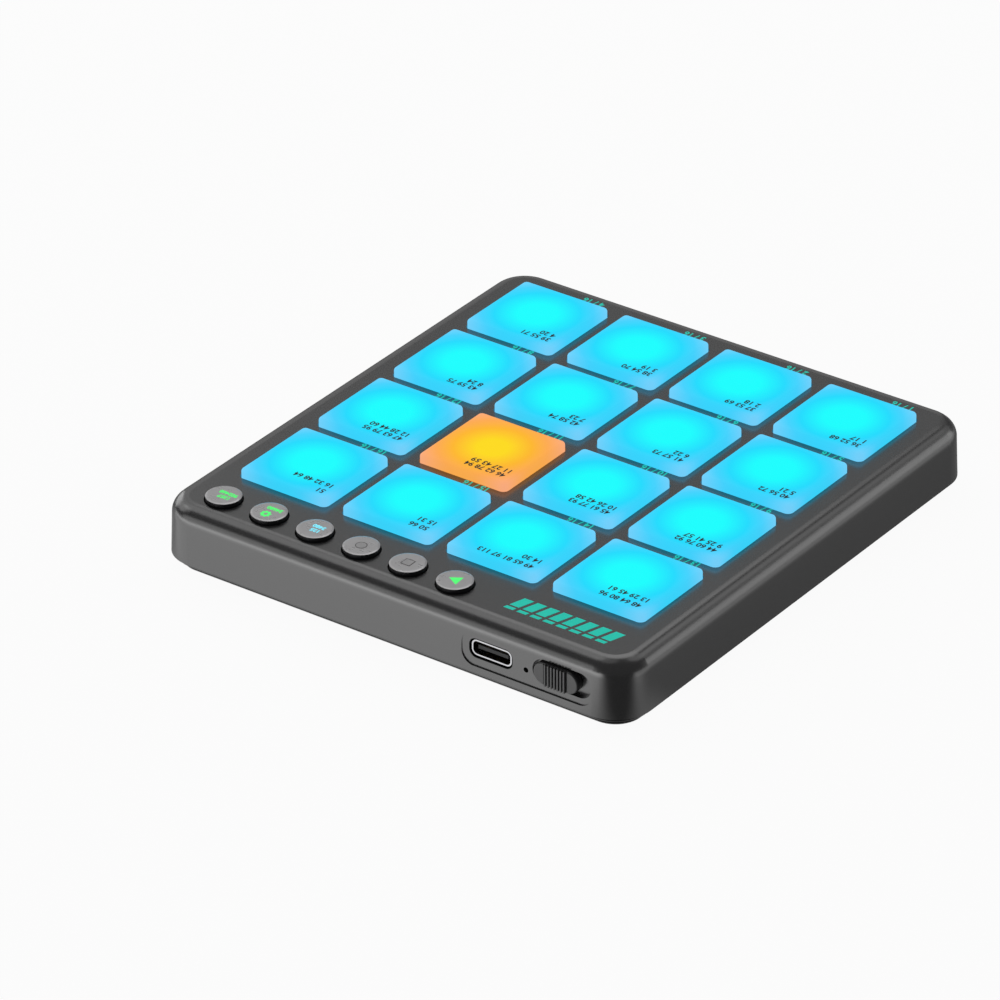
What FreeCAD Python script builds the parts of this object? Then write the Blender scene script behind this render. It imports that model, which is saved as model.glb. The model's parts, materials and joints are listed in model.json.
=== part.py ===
"""Pad controller with a four by four grid of lit pads, as a parametric assembly.

Millimetres. +Z is up, the player sits at -Y and the rear wall faces +Y. The origin is at
the bottom centre of the body, on the surface that the feet stand on.
"""
import FreeCAD
import Part
import math
import os
import re
import Sketcher
from FreeCAD import Vector

# Driving dimensions: name, value in millimetres (or a count), meaning
SIZES = (
    ("body_width", 108.0, "across the pads, at the foot of the walls"),
    ("body_depth", 116.0, "player's side to rear wall, at the foot of the walls"),
    ("corner", 7.7, "plan radius of the body's corners at the foot"),
    ("foot_proud", 0.35, "rubber feet below the base"),
    ("base_height", 2.35, "base below the cover's foot"),
    ("wall_height", 8.2, "drafted wall of the cover"),
    ("wall_draft", 0.35, "how far the wall leans in over its height"),
    ("shoulder", 3.4, "round between the wall and the top"),
    ("shoulder_flat", 0.05, "left upright under the round"),
    ("wall", 2.2, "cover's wall at its foot"),
    ("roof", 1.8, "cover's thickness over the pads"),
    ("inner_round", 0.8, "round inside the cover, under the roof"),
    ("pad_count", 4, "pads in a row and rows of pads"),
    ("side_margin", 6.0, "outer ribs' middle to the body's side"),
    ("front_margin", 5.7, "front rib's middle to the player's side"),
    ("rear_margin", 14.3, "rear rib's middle to the rear wall"),
    ("pad_space", 3.8, "between two pads"),
    ("pad_proud", 1.7, "pad above the cover"),
    ("pad_corner", 1.0, "plan radius of a pad's corners"),
    ("pad_edge", 0.7, "round along a pad's top edges"),
    ("pad_skin", 1.6, "pad's thickness over the light"),
    ("pad_side", 1.4, "pad's side wall"),
    ("pad_gap", 0.25, "gap between a pad and its window, each side"),
    ("pad_flange", 0.8, "flange past the pad's side"),
    ("flange_height", 1.0, "thickness of a pad's flange"),
    ("pad_travel", 0.6, "how far a pad goes down"),
    ("rest_gap", 0.05, "moving flange below the roof at rest"),
    ("stop_gap", 0.1, "left between a pressed piece and what is under it"),
    ("board_level", 4.95, "underside of the circuit board above the table"),
    ("board_thick", 1.2, "circuit board"),
    ("board_gap", 0.5, "board to the cover's walls"),
    ("frame_height", 3.6, "light frame on the board"),
    ("frame_skin", 1.2, "light frame's plate and cell walls"),
    ("film_thick", 0.3, "sensor film"),
    ("film_margin", 0.6, "film past the outermost pads' sides"),
    ("led_width", 5.0, "colour LED, square"),
    ("led_height", 1.6, "colour LED"),
    ("rib_thick", 1.0, "ribs between the pads"),
    ("rib_gap", 0.1, "ribs above the sensor film"),
    ("button_count", 6, "buttons in the row"),
    ("button_first", 43.6, "first button, from the body's side on the player's left"),
    ("button_last", 10.8, "last button, from the body's other side"),
    ("button_inset", 7.75, "button row, from the rear wall"),
    ("button_width", 7.0, "button's diameter"),
    ("button_proud", 0.95, "button above the cover"),
    ("button_bevel", 0.35, "bevel round a button's face, across"),
    ("button_slope", 0.1, "bevel round a button's face, downwards"),
    ("button_gap", 0.3, "gap round a button in its hole"),
    ("button_flange", 0.7, "flange past the button's side"),
    ("button_flange_height", 0.8, "thickness of a button's flange"),
    ("button_stem", 3.0, "button's stem, diameter"),
    ("button_travel", 0.3, "how far a button goes down"),
    ("tact_width", 6.0, "push switch housing, square"),
    ("tact_height", 3.4, "push switch housing"),
    ("plunger_width", 3.4, "push switch plunger, diameter"),
    ("plunger_proud", 0.8, "plunger above its housing"),
    ("plunger_depth", 0.8, "plunger inside its housing"),
    ("running_gap", 0.08, "gap round a plunger or lever in its housing"),
    ("panel_margin", 7.7, "rear panel's far end, from the body's side"),
    ("panel_length", 29.0, "flat rear panel"),
    ("panel_height", 6.85, "flat rear panel, up to the shoulder"),
    ("panel_corner", 2.7, "corner radius of the flat rear panel"),
    ("usb_margin", 30.2, "socket's centre, from the body's side"),
    ("usb_width", 8.94, "socket shell's width"),
    ("usb_height", 3.26, "socket shell's height"),
    ("usb_corner", 1.2, "socket shell's corner radius"),
    ("usb_wall", 0.3, "socket shell's sheet"),
    ("usb_length", 7.3, "socket shell from front to back"),
    ("usb_recess", 0.3, "shell's mouth behind the rear panel"),
    ("usb_gap", 0.4, "gap round the shell in the cover"),
    ("usb_back", 1.6, "plastic at the back of the shell"),
    ("tongue_width", 6.7, "contact tongue's width"),
    ("tongue_thick", 0.72, "contact tongue's thickness"),
    ("tongue_recess", 0.5, "tongue's tip behind the shell's mouth"),
    ("pinhole_margin", 22.35, "pinhole, from the body's side"),
    ("pinhole_level", 7.1, "pinhole above the table"),
    ("pinhole", 1.05, "pinhole's diameter"),
    ("slot_margin", 14.4, "slider recess's centre, from the body's side"),
    ("slot_level", 8.05, "slider recess's centre above the table"),
    ("slot_length", 13.0, "slider recess, end to end"),
    ("slot_height", 5.25, "slider recess"),
    ("slot_depth", 1.0, "slider recess, from the rear panel"),
    ("slider_length", 9.85, "slider's head, end to end"),
    ("slider_height", 4.5, "slider's head"),
    ("slider_proud", 0.7, "slider's head past the rear panel"),
    ("slider_edge", 0.3, "round along the slider's face"),
    ("slider_gap", 0.15, "slider to the floor and the wall it slides on"),
    ("slider_travel", 2.0, "how far the slider moves"),
    ("grip_proud", 0.35, "grip block past the slider's head"),
    ("groove_count", 8, "grooves in the grip block, between and outside its ribs"),
    ("groove_pitch", 0.7, "grip groove to grip groove"),
    ("groove_width", 0.37, "grip groove"),
    ("groove_depth", 0.55, "grip groove"),
    ("stem_length", 4.4, "slider's stem through the wall, along the travel"),
    ("stem_height", 2.2, "slider's stem through the wall"),
    ("stem_gap", 0.25, "stem to its slot's ends at either stop"),
    ("keeper_length", 7.0, "slider's inner plate, along the travel"),
    ("keeper_height", 3.0, "slider's inner plate"),
    ("keeper_thick", 0.8, "slider's inner plate"),
    ("fork_thick", 1.1, "each prong that holds the switch lever"),
    ("fork_length", 1.8, "prongs behind the inner plate"),
    ("lever_length", 1.5, "switch lever, along the travel"),
    ("lever_height", 1.6, "switch lever"),
    ("lever_reach", 2.0, "switch lever out of its housing"),
    ("lever_depth", 1.2, "switch lever inside its housing"),
    ("switch_length", 8.6, "slide switch housing"),
    ("switch_depth", 4.3, "slide switch housing, front to back"),
    ("switch_height", 3.9, "slide switch housing"),
    ("base_floor", 1.4, "base's floor"),
    ("lip_inset", 2.2, "base's lip inside the body's outline"),
    ("lip_height", 0.35, "base's lip"),
    ("lip_round", 0.3, "round under the base's lip"),
    ("groove_inset", 2.5, "parting groove inside the body's outline"),
    ("groove_height", 0.94, "parting groove"),
    ("bead_inset", 1.1, "bead inside the body's outline"),
    ("bead_height", 0.2, "bead between the two grooves"),
    ("seat_inset", 1.4, "face that the cover's foot stands on"),
    ("tongue_gap", 0.15, "base's tongue to the cover's wall"),
    ("tongue_wall", 1.25, "base's tongue"),
    ("tongue_rise", 1.4, "base's tongue inside the cover"),
    ("foot_inset", 12.0, "feet's centres inside the body's sides"),
    ("foot_width", 8.0, "rubber foot's diameter"),
    ("foot_sunk", 0.6, "rubber foot in the base"),
    ("foot_gap", 0.2, "gap round a foot in its recess"),
    ("foot_edge", 0.3, "bevel under a foot"),
    ("screw_inset", 5.2, "screws inside the body's sides"),
    ("screw_front_inset", 5.6, "front screws inside the player's side"),
    ("screw_rear_inset", 12.6, "rear screws inside the rear wall"),
    ("screw_core", 1.4, "screw's core diameter"),
    ("screw_length", 8.0, "screw under its head"),
    ("head_width", 3.0, "screw's head"),
    ("head_height", 1.0, "screw's head"),
    ("cross_length", 1.8, "cross recess in a screw's head, end to end"),
    ("cross_width", 0.5, "each arm of the cross"),
    ("cross_depth", 0.55, "cross recess in a screw's head"),
    ("head_sunk", 1.1, "screw's seat above the base's underside"),
    ("head_gap", 0.15, "gap round a screw's head"),
    ("thread_gap", 0.05, "gap round a screw in its boss"),
    ("boss_width", 3.8, "cover's screw bosses"),
    ("tip_gap", 0.5, "pilot hole past the screw's tip"),
    ("standoff_width", 3.8, "base's standoffs"),
    ("shank_gap", 0.25, "gap round a screw in the base"),
    ("battery_width", 50.0, "battery, across"),
    ("battery_length", 60.0, "battery, along"),
    ("battery_thick", 2.3, "battery"),
    ("battery_corner", 1.5, "plan radius of the battery's corners"),
    ("battery_margin", 8.0, "battery to the player's side"),
    ("tape_thick", 0.2, "tape under the battery"),
    ("tape_margin", 4.0, "battery past its tape"),
    ("bay_thick", 1.2, "ribs round the battery"),
    ("bay_height", 1.8, "ribs round the battery"),
    ("bay_gap", 0.4, "battery to the ribs"),
    ("lead_width", 1.0, "battery lead's diameter"),
    ("lead_pitch", 1.6, "lead to lead"),
    ("lead_gap", 1.0, "beside the leads where they leave the battery bay"),
    ("lead_margin", 15.0, "leads from the battery's side, where they leave it"),
    ("lead_bend", 4.0, "bend radius of the leads"),
    ("lead_start", 3.0, "leads from the battery to the bend"),
    ("lead_end", 6.0, "leads from the bend to their socket"),
    ("socket_width", 5.0, "battery socket, square"),
    ("socket_height", 2.2, "battery socket"),
    ("chip_width", 7.0, "controller chip, square"),
    ("chip_height", 0.9, "controller chip"),
    ("chip_side", 6.0, "controller chip from the centre, across"),
    ("chip_inset", 26.0, "parts under the board, from the rear wall"),
    ("radio_margin", 24.0, "radio board's centre, from the body's side"),
    ("radio_width", 12.0, "radio board"),
    ("radio_length", 16.0, "radio board"),
    ("radio_thick", 0.8, "radio board"),
    ("shield_margin", 1.0, "radio board past its shield"),
    ("shield_height", 1.5, "radio shield"),
    ("antenna_length", 4.0, "end of the radio board left bare"),
    ("charge_width", 2.0, "charge indicator, along the wall"),
    ("charge_depth", 1.0, "charge indicator"),
    ("charge_height", 1.5, "charge indicator"),
    ("overcut", 1.0, "how far a cut runs past what it cuts"),
)

# Places and sizes that follow from the ones above
FOLLOWING = (
    ("half_width", "body_width / 2"),
    ("half_depth", "body_depth / 2"),
    ("base_level", "foot_proud"),
    ("wall_foot", "base_level + base_height"),
    ("crease", "wall_foot + wall_height"),
    ("cover_top", "crease + shoulder"),
    ("ceiling", "cover_top - roof"),
    ("board_top", "board_level + board_thick"),
    ("film_level", "board_top + frame_height"),
    ("film_top", "film_level + film_thick"),
    ("flange_top", "ceiling - rest_gap"),
    ("pad_top", "cover_top + pad_proud"),
    ("pad_foot", "film_top + pad_travel + stop_gap"),
    ("pitch_x", "(body_width - 2 * side_margin) / pad_count"),
    ("pitch_y", "(body_depth - front_margin - rear_margin) / pad_count"),
    ("pad_x", "pitch_x - pad_space"),
    ("pad_y", "pitch_y - pad_space"),
    ("grid_y", "(front_margin - rear_margin) / 2"),
    ("half_x", "(pad_count - 1) * pitch_x / 2"),
    ("half_y", "(pad_count - 1) * pitch_y / 2"),
    ("cell_x", "pad_x - 2 * pad_side"),
    ("cell_y", "pad_y - 2 * pad_side"),
    ("button_pitch", "(body_width - button_first - button_last) / (button_count - 1)"),
    ("button_start", "half_width - button_first"),
    ("button_row", "half_depth - button_inset"),
    ("screw_side", "half_width - screw_inset"),
    ("screw_front", "half_depth - screw_front_inset"),
    ("screw_rear", "half_depth - screw_rear_inset"),
    ("foot_side", "half_width - foot_inset"),
    ("foot_end", "half_depth - foot_inset"),
    ("panel_face", "half_depth - wall_draft"),
    ("panel_far", "half_width - panel_margin"),
    ("inner_rear", "half_depth - wall"),
    ("usb_place", "half_width - usb_margin"),
    ("pinhole_place", "half_width - pinhole_margin"),
    ("slot_place", "half_width - slot_margin"),
    ("usb_level", "board_top + usb_height / 2"),
    ("usb_front", "panel_face - usb_recess"),
    ("floor_level", "base_level + base_floor"),
    ("screw_seat", "base_level + head_sunk"),
    ("plunger_top", "board_top + tact_height + plunger_proud"),
    ("button_top", "cover_top + button_proud"),
    ("slider_place", "slot_place - slider_travel / 2"),
    ("keeper_front", "inner_rear - slider_gap"),
    ("keeper_back", "keeper_front - keeper_thick"),
    ("slot_floor", "panel_face - slot_depth"),
    ("lever_tip", "keeper_back - slider_gap"),
    ("switch_front", "lever_tip - lever_reach"),
    ("battery_y", "battery_margin + battery_length / 2 - half_depth"),
    ("lead_place", "battery_width / 2 - lead_margin"),
    ("battery_rear", "battery_y + battery_length / 2"),
    ("chip_row", "half_depth - chip_inset"),
    ("radio_side", "half_width - radio_margin"),
    ("battery_level", "floor_level + tape_thick"),
    ("lead_level", "battery_level + battery_thick / 2"),
)

doc = FreeCAD.newDocument("pad_controller")
sheet = doc.addObject("Spreadsheet::Sheet", "sizes")
for line, (name, value, meaning) in enumerate(SIZES, 1):
    sheet.set(f"A{line}", meaning)
    sheet.set(f"B{line}", str(value))
    sheet.setAlias(f"B{line}", name)
for line, (name, rule) in enumerate(FOLLOWING, len(SIZES) + 1):
    sheet.set(f"B{line}", "=" + rule)
    sheet.setAlias(f"B{line}", name)
doc.recompute()

WORDS = sorted([row[0] for row in SIZES + FOLLOWING], key=len, reverse=True)
NAMES = re.compile(r"\b(" + "|".join(WORDS) + r")\b")
NORMALS = {"XY_Plane": "+Z", "XZ_Plane": "-Y"}
NEAR = 1e-4
parts = []


def sized(rule):
    """Return a rule whose names point at the sheet."""
    return NAMES.sub(r"sizes.\1", rule)


def number(rule):
    """Return the value that a rule has now."""
    return float(sheet.evalExpression(sized(rule)))


def bind(item, **rules):
    """Tie properties of an object to rules."""
    for name, rule in rules.items():
        item.setExpression(name, sized(rule))


def place(item, x="0", y="0", z="0"):
    """Tie an object's place to rules."""
    for axis, rule in (("x", x), ("y", y), ("z", z)):
        item.setExpression("Placement.Base." + axis, sized(rule))


def keep(item, label):
    """Name an object as a sub-part of the assembly."""
    item.Label = label
    parts.append(item)
    return item


# Sketches on a body's own planes

def origin_part(body, role):
    """Return a plane or axis of a body's own origin."""
    return next(item for item in body.Origin.OriginFeatures if item.Role == role)


def new_sketch(body, name, plane, level):
    """Add a sketch on the XY or XZ plane, moved to a level on the third axis."""
    sketch = body.newObject("Sketcher::SketchObject", name)
    sketch.AttachmentSupport = (origin_part(body, plane + "_Plane"), [""])
    sketch.MapMode = "FlatFace"
    side = "-" if plane == "XZ" else ""
    sketch.setExpression("AttachmentOffset.Base.z", sized(f"{side}({level})"))
    return sketch


def dimension(sketch, name, constraint, rule):
    """Add a constraint and tie its value to a rule."""
    index = sketch.addConstraint(constraint)
    sketch.renameConstraint(index, name)
    sketch.setExpression("Constraints." + name, sized(rule))


def rectangle(sketch, left, right, low, high, radius=None):
    """Draw a rectangle between four rules, with round corners if a radius is given."""
    x0, x1, y0, y1 = (number(rule) for rule in (left, right, low, high))
    bend = number(radius) if radius else 0.0
    first = sketch.GeometryCount
    sketch.addGeometry([
        Part.LineSegment(Vector(x0 + bend, y0), Vector(x1 - bend, y0)),
        Part.LineSegment(Vector(x1, y0 + bend), Vector(x1, y1 - bend)),
        Part.LineSegment(Vector(x1 - bend, y1), Vector(x0 + bend, y1)),
        Part.LineSegment(Vector(x0, y1 - bend), Vector(x0, y0 + bend)),
    ], False)
    if radius:
        centres = ((x1 - bend, y0 + bend), (x1 - bend, y1 - bend),
                   (x0 + bend, y1 - bend), (x0 + bend, y0 + bend))
        for turn, (x, y) in enumerate(centres):
            start = math.radians(90 * turn - 90)
            ring = Part.Circle(Vector(x, y), Vector(0, 0, 1), bend)
            sketch.addGeometry(Part.ArcOfCircle(ring, start, start + math.pi / 2), False)
    for side in range(4):
        straight = "Vertical" if side % 2 else "Horizontal"
        sketch.addConstraint(Sketcher.Constraint(straight, first + side))
        after = first + (side + 1) % 4
        if radius:
            sketch.addConstraint(Sketcher.Constraint("Tangent", first + side, 2, first + 4 + side, 1))
            sketch.addConstraint(Sketcher.Constraint("Tangent", first + 4 + side, 2, after, 1))
        else:
            sketch.addConstraint(Sketcher.Constraint("Coincident", first + side, 2, after, 1))
    if radius:
        for turn in range(3):
            sketch.addConstraint(Sketcher.Constraint("Equal", first + 4 + turn, first + 5 + turn))
        dimension(sketch, f"radius{first}", Sketcher.Constraint("Radius", first + 4, bend), radius)
    dimension(sketch, f"low{first}", Sketcher.Constraint("DistanceY", -1, 1, first, 1, y0), low)
    dimension(sketch, f"right{first}", Sketcher.Constraint("DistanceX", -1, 1, first + 1, 1, x1), right)
    dimension(sketch, f"high{first}", Sketcher.Constraint("DistanceY", -1, 1, first + 2, 1, y1), high)
    dimension(sketch, f"left{first}", Sketcher.Constraint("DistanceX", -1, 1, first + 3, 1, x0), left)


def around(sketch, x, y, width, height, radius=None):
    """Draw a rectangle round a centre."""
    rectangle(sketch, f"{x} - ({width}) / 2", f"{x} + ({width}) / 2",
              f"{y} - ({height}) / 2", f"{y} + ({height}) / 2", radius)


def stadium(sketch, x, y, length, height):
    """Draw a slot outline with half-round ends, along the sketch's first axis."""
    half = f"(({length}) - ({height})) / 2"
    bend = number(f"({height}) / 2")
    x0, x1, middle = number(f"{x} - {half}"), number(f"{x} + {half}"), number(y)
    sketch.addGeometry([
        Part.LineSegment(Vector(x0, middle - bend), Vector(x1, middle - bend)),
        Part.ArcOfCircle(Part.Circle(Vector(x1, middle), Vector(0, 0, 1), bend),
                         -math.pi / 2, math.pi / 2),
        Part.LineSegment(Vector(x1, middle + bend), Vector(x0, middle + bend)),
        Part.ArcOfCircle(Part.Circle(Vector(x0, middle), Vector(0, 0, 1), bend),
                         math.pi / 2, 3 * math.pi / 2),
    ], False)
    for side in range(4):
        sketch.addConstraint(Sketcher.Constraint("Tangent", side, 2, (side + 1) % 4, 1))
    sketch.addConstraint(Sketcher.Constraint("Horizontal", 0))
    dimension(sketch, "radius", Sketcher.Constraint("Radius", 1, bend), f"({height}) / 2")
    dimension(sketch, "right", Sketcher.Constraint("DistanceX", -1, 1, 1, 3, x1), f"{x} + {half}")
    dimension(sketch, "left", Sketcher.Constraint("DistanceX", -1, 1, 3, 3, x0), f"{x} - {half}")
    dimension(sketch, "level", Sketcher.Constraint("DistanceY", -1, 1, 1, 3, middle), y)


def circle(sketch, x, y, width):
    """Draw a circle of a given diameter round a centre."""
    index = sketch.GeometryCount
    centre = Vector(number(x), number(y))
    half = number(f"({width}) / 2")
    sketch.addGeometry(Part.Circle(centre, Vector(0, 0, 1), half), False)
    dimension(sketch, f"across{index}", Sketcher.Constraint("DistanceX", -1, 1, index, 3, centre.x), x)
    dimension(sketch, f"along{index}", Sketcher.Constraint("DistanceY", -1, 1, index, 3, centre.y), y)
    dimension(sketch, f"radius{index}", Sketcher.Constraint("Radius", index, half), f"({width}) / 2")


# Features of a body

def new_body():
    """Add an empty body."""
    return doc.addObject("PartDesign::Body", "body")


def grow(body, name, sketch, length, towards, taper=None):
    """Pad a sketch by a length towards one side of its plane."""
    feature = body.newObject("PartDesign::Pad", name)
    feature.Profile = sketch
    feature.Reversed = towards != NORMALS[sketch.AttachmentSupport[0][0].Role]
    bind(feature, Length=length)
    if taper:
        bind(feature, TaperAngle=taper)
    doc.recompute()
    return feature


def cut(body, name, sketch, length, towards):
    """Pocket a sketch by a length towards one side of its plane."""
    before = body.Shape.Volume
    feature = body.newObject("PartDesign::Pocket", name)
    feature.Profile = sketch
    feature.Reversed = towards == NORMALS[sketch.AttachmentSupport[0][0].Role]
    bind(feature, Length=length)
    doc.recompute()
    if body.Shape.Volume > before - NEAR:
        raise RuntimeError(f"{name} cuts nothing")
    return feature


def repeat(body, name, feature, axis, pitch, count):
    """Repeat a feature in a row along X or Y."""
    pattern = body.newObject("PartDesign::LinearPattern", name)
    pattern.Originals = [feature]
    aim(body, pattern, axis, pitch, count)
    body.Tip = pattern
    doc.recompute()
    return pattern


def aim(body, pattern, axis, pitch, count):
    """Set a pattern's direction, spacing and count."""
    pattern.Direction = (origin_part(body, axis + "_Axis"), [""])
    pattern.Mode = "Spacing"
    bind(pattern, Offset=pitch, Occurrences=count)


def repeat_grid(body, name, feature):
    """Repeat a feature under every pad, from the nearest pad on the player's left."""
    pattern = body.newObject("PartDesign::MultiTransform", name)
    pattern.Originals = [feature]
    rows = []
    for axis, pitch in (("X", "pitch_x"), ("Y", "pitch_y")):
        row = body.newObject("PartDesign::LinearPattern", name + axis)
        aim(body, row, axis, pitch, "pad_count")
        rows.append(row)
    pattern.Transformations = rows
    pattern.BaseFeature = feature
    body.Tip = pattern
    doc.recompute()
    return pattern


def edges_at(shape, level):
    """Return the names of the edges that lie flat at a height."""
    height = number(level)
    names = []
    for index, edge in enumerate(shape.Edges, 1):
        box = edge.BoundBox
        if abs(box.ZMin - height) < NEAR and abs(box.ZMax - height) < NEAR:
            names.append(f"Edge{index}")
    return names


def dress(body, kind, name, edges, size):
    """Round or bevel some edges of a body's last feature."""
    before = body.Tip
    feature = body.newObject("PartDesign::" + kind, name)
    feature.Base = (before, edges)
    bind(feature, **{"Radius" if kind == "Fillet" else "Size": size})
    doc.recompute()
    return feature


# Simple solids

def box(x, y, z, length, width, height):
    """Add a box from its low corner."""
    item = doc.addObject("Part::Box", "box")
    bind(item, Length=length, Width=width, Height=height)
    place(item, x, y, z)
    return item


def block(x, y, z, length, width, height):
    """Add a box centred on x and y, standing on z."""
    return box(f"{x} - ({length}) / 2", f"{y} - ({width}) / 2", z, length, width, height)


def cylinder(x, y, z, width, height):
    """Add an upright cylinder of a given diameter, standing on z."""
    item = doc.addObject("Part::Cylinder", "cylinder")
    bind(item, Radius=f"({width}) / 2", Height=height)
    place(item, x, y, z)
    return item


def minus(base, tool):
    """Cut one solid from another."""
    item = doc.addObject("Part::Cut", "cut")
    item.Base = base
    item.Tool = tool
    return item


def joined(*items):
    """Fuse solids into one."""
    item = doc.addObject("Part::MultiFuse", "fuse")
    item.Shapes = items
    return item


def group(items):
    """Hold like solids together, each still a solid of its own."""
    item = doc.addObject("Part::Compound", "group")
    item.Links = items
    return item


# Places that several pieces share

def pad_places():
    """Return the rules of the pads' places, from the player's near left, row by row."""
    count = int(number("pad_count"))
    return [(f"{column} * pitch_x - half_x", f"{row} * pitch_y - half_y + grid_y")
            for row in range(count) for column in range(count)]


def button_places():
    """Return the rules of the buttons' places, from the player's left."""
    count = int(number("button_count"))
    return [(f"{index} * button_pitch - button_start", "button_row") for index in range(count)]


SCREW_PLACES = [(side + "screw_side", row) for row in ("-screw_front", "grid_y", "screw_rear")
                for side in "-+"]
FOOT_PLACES = [(side + "foot_side", end + "foot_end") for end in "-+" for side in "-+"]


def body_outline(sketch, inset):
    """Draw the body's plan, moved inwards."""
    around(sketch, "0", "0", f"body_width - 2 * ({inset})", f"body_depth - 2 * ({inset})",
           f"corner - ({inset})")


def film_outline(sketch):
    """Draw the plan of the sensor film and the light frame."""
    around(sketch, "0", "grid_y", "2 * (half_x + film_margin) + pad_x",
           "2 * (half_y + film_margin) + pad_y")


def first_cell(body, name, level):
    """Draw the light opening under the nearest pad on the player's left."""
    sketch = new_sketch(body, name, "XY", level)
    around(sketch, "-half_x", "grid_y - half_y", "cell_x", "cell_y")
    return sketch


# Top cover: drafted walls, round shoulder, hollow inside with ribs and screw bosses

def make_top_cover():
    """Make the moulded top cover."""
    body = new_body()
    sketch = new_sketch(body, "foot_plan", "XY", "wall_foot")
    body_outline(sketch, "0")
    grow(body, "walls", sketch, "wall_height", "+Z", "-atan(wall_draft / wall_height)")
    sketch = new_sketch(body, "shoulder_plan", "XY", "crease")
    body_outline(sketch, "wall_draft")
    grow(body, "shoulder_block", sketch, "shoulder", "+Z")
    dress(body, "Fillet", "shoulder_round", edges_at(body.Shape, "cover_top"), "shoulder - shoulder_flat")
    sketch = new_sketch(body, "cavity_plan", "XY", "wall_foot")
    body_outline(sketch, "wall")
    cut(body, "cavity", sketch, "ceiling - wall_foot", "+Z")
    dress(body, "Fillet", "cavity_round", edges_at(body.Shape, "ceiling"), "inner_round")
    cover_ribs(body)
    cover_bosses(body)
    cover_openings(body)
    cover_rear(body)
    return keep(body, "top_cover")


def cover_ribs(body):
    """Add the ribs that part the pads and press on the sensor film."""
    side = "(half_x + pitch_x / 2)"
    end = "(half_y + pitch_y / 2)"
    depth = "ceiling - film_top - rib_gap"
    sketch = new_sketch(body, "rib_along", "XY", "ceiling")
    around(sketch, f"-{side}", "grid_y", "rib_thick", f"2 * {end} + rib_thick")
    rib = grow(body, "rib_y", sketch, depth, "-Z")
    repeat(body, "ribs_y", rib, "X", "pitch_x", "pad_count + 1")
    sketch = new_sketch(body, "rib_across", "XY", "ceiling")
    around(sketch, "0", f"grid_y - {end}", f"2 * {side} + rib_thick", "rib_thick")
    rib = grow(body, "rib_x", sketch, depth, "-Z")
    repeat(body, "ribs_x", rib, "Y", "pitch_y", "pad_count + 1")


def cover_bosses(body):
    """Add the screw bosses that clamp the board, with their pilot holes."""
    sketch = new_sketch(body, "boss_plan", "XY", "ceiling")
    for x, y in SCREW_PLACES:
        circle(sketch, x, y, "boss_width")
    grow(body, "bosses", sketch, "ceiling - board_top", "-Z")
    sketch = new_sketch(body, "pilot_plan", "XY", "board_top")
    for x, y in SCREW_PLACES:
        circle(sketch, x, y, "screw_core + 2 * thread_gap")
    cut(body, "pilots", sketch, "screw_seat + screw_length + tip_gap - board_top", "+Z")


def cover_openings(body):
    """Cut the pads' windows and the buttons' holes."""
    sketch = new_sketch(body, "window_plan", "XY", "cover_top")
    around(sketch, "-half_x", "grid_y - half_y", "pad_x + 2 * pad_gap", "pad_y + 2 * pad_gap",
           "pad_corner + pad_gap")
    window = cut(body, "window", sketch, "roof + overcut", "-Z")
    repeat_grid(body, "windows", window)
    sketch = new_sketch(body, "button_plan", "XY", "cover_top")
    circle(sketch, "-button_start", "button_row", "button_width + 2 * button_gap")
    hole = cut(body, "button_hole", sketch, "roof + overcut", "-Z")
    repeat(body, "button_holes", hole, "X", "button_pitch", "button_count")


def cover_rear(body):
    """Cut the flat rear panel, the socket's opening, the pinhole and the slider's recess."""
    sketch = new_sketch(body, "panel_plan", "XZ", "half_depth + overcut")
    rectangle(sketch, "-panel_far", "panel_length - panel_far", "crease - panel_height", "crease",
              "panel_corner")
    cut(body, "panel", sketch, "wall_draft + overcut", "-Y")
    sketch = new_sketch(body, "usb_plan", "XZ", "panel_face + overcut")
    around(sketch, "-usb_place", "usb_level", "usb_width + 2 * usb_gap", "usb_height + 2 * usb_gap",
           "usb_corner + usb_gap")
    cut(body, "usb_opening", sketch, "wall + 2 * overcut", "-Y")
    sketch = new_sketch(body, "pinhole_plan", "XZ", "panel_face + overcut")
    circle(sketch, "-pinhole_place", "pinhole_level", "pinhole")
    cut(body, "pinhole", sketch, "wall + 2 * overcut", "-Y")
    sketch = new_sketch(body, "recess_plan", "XZ", "panel_face + overcut")
    stadium(sketch, "-slot_place", "slot_level", "slot_length", "slot_height")
    cut(body, "slider_recess", sketch, "slot_depth + overcut", "-Y")
    sketch = new_sketch(body, "stem_slot_plan", "XZ", "slot_floor + overcut")
    around(sketch, "-slot_place", "slot_level", "stem_length + slider_travel + 2 * stem_gap",
           "stem_height + 2 * stem_gap")
    cut(body, "stem_slot", sketch, "wall + overcut", "-Y")


# Base cover: lip, groove and bead outside, tongue, standoffs and battery bay inside

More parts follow.
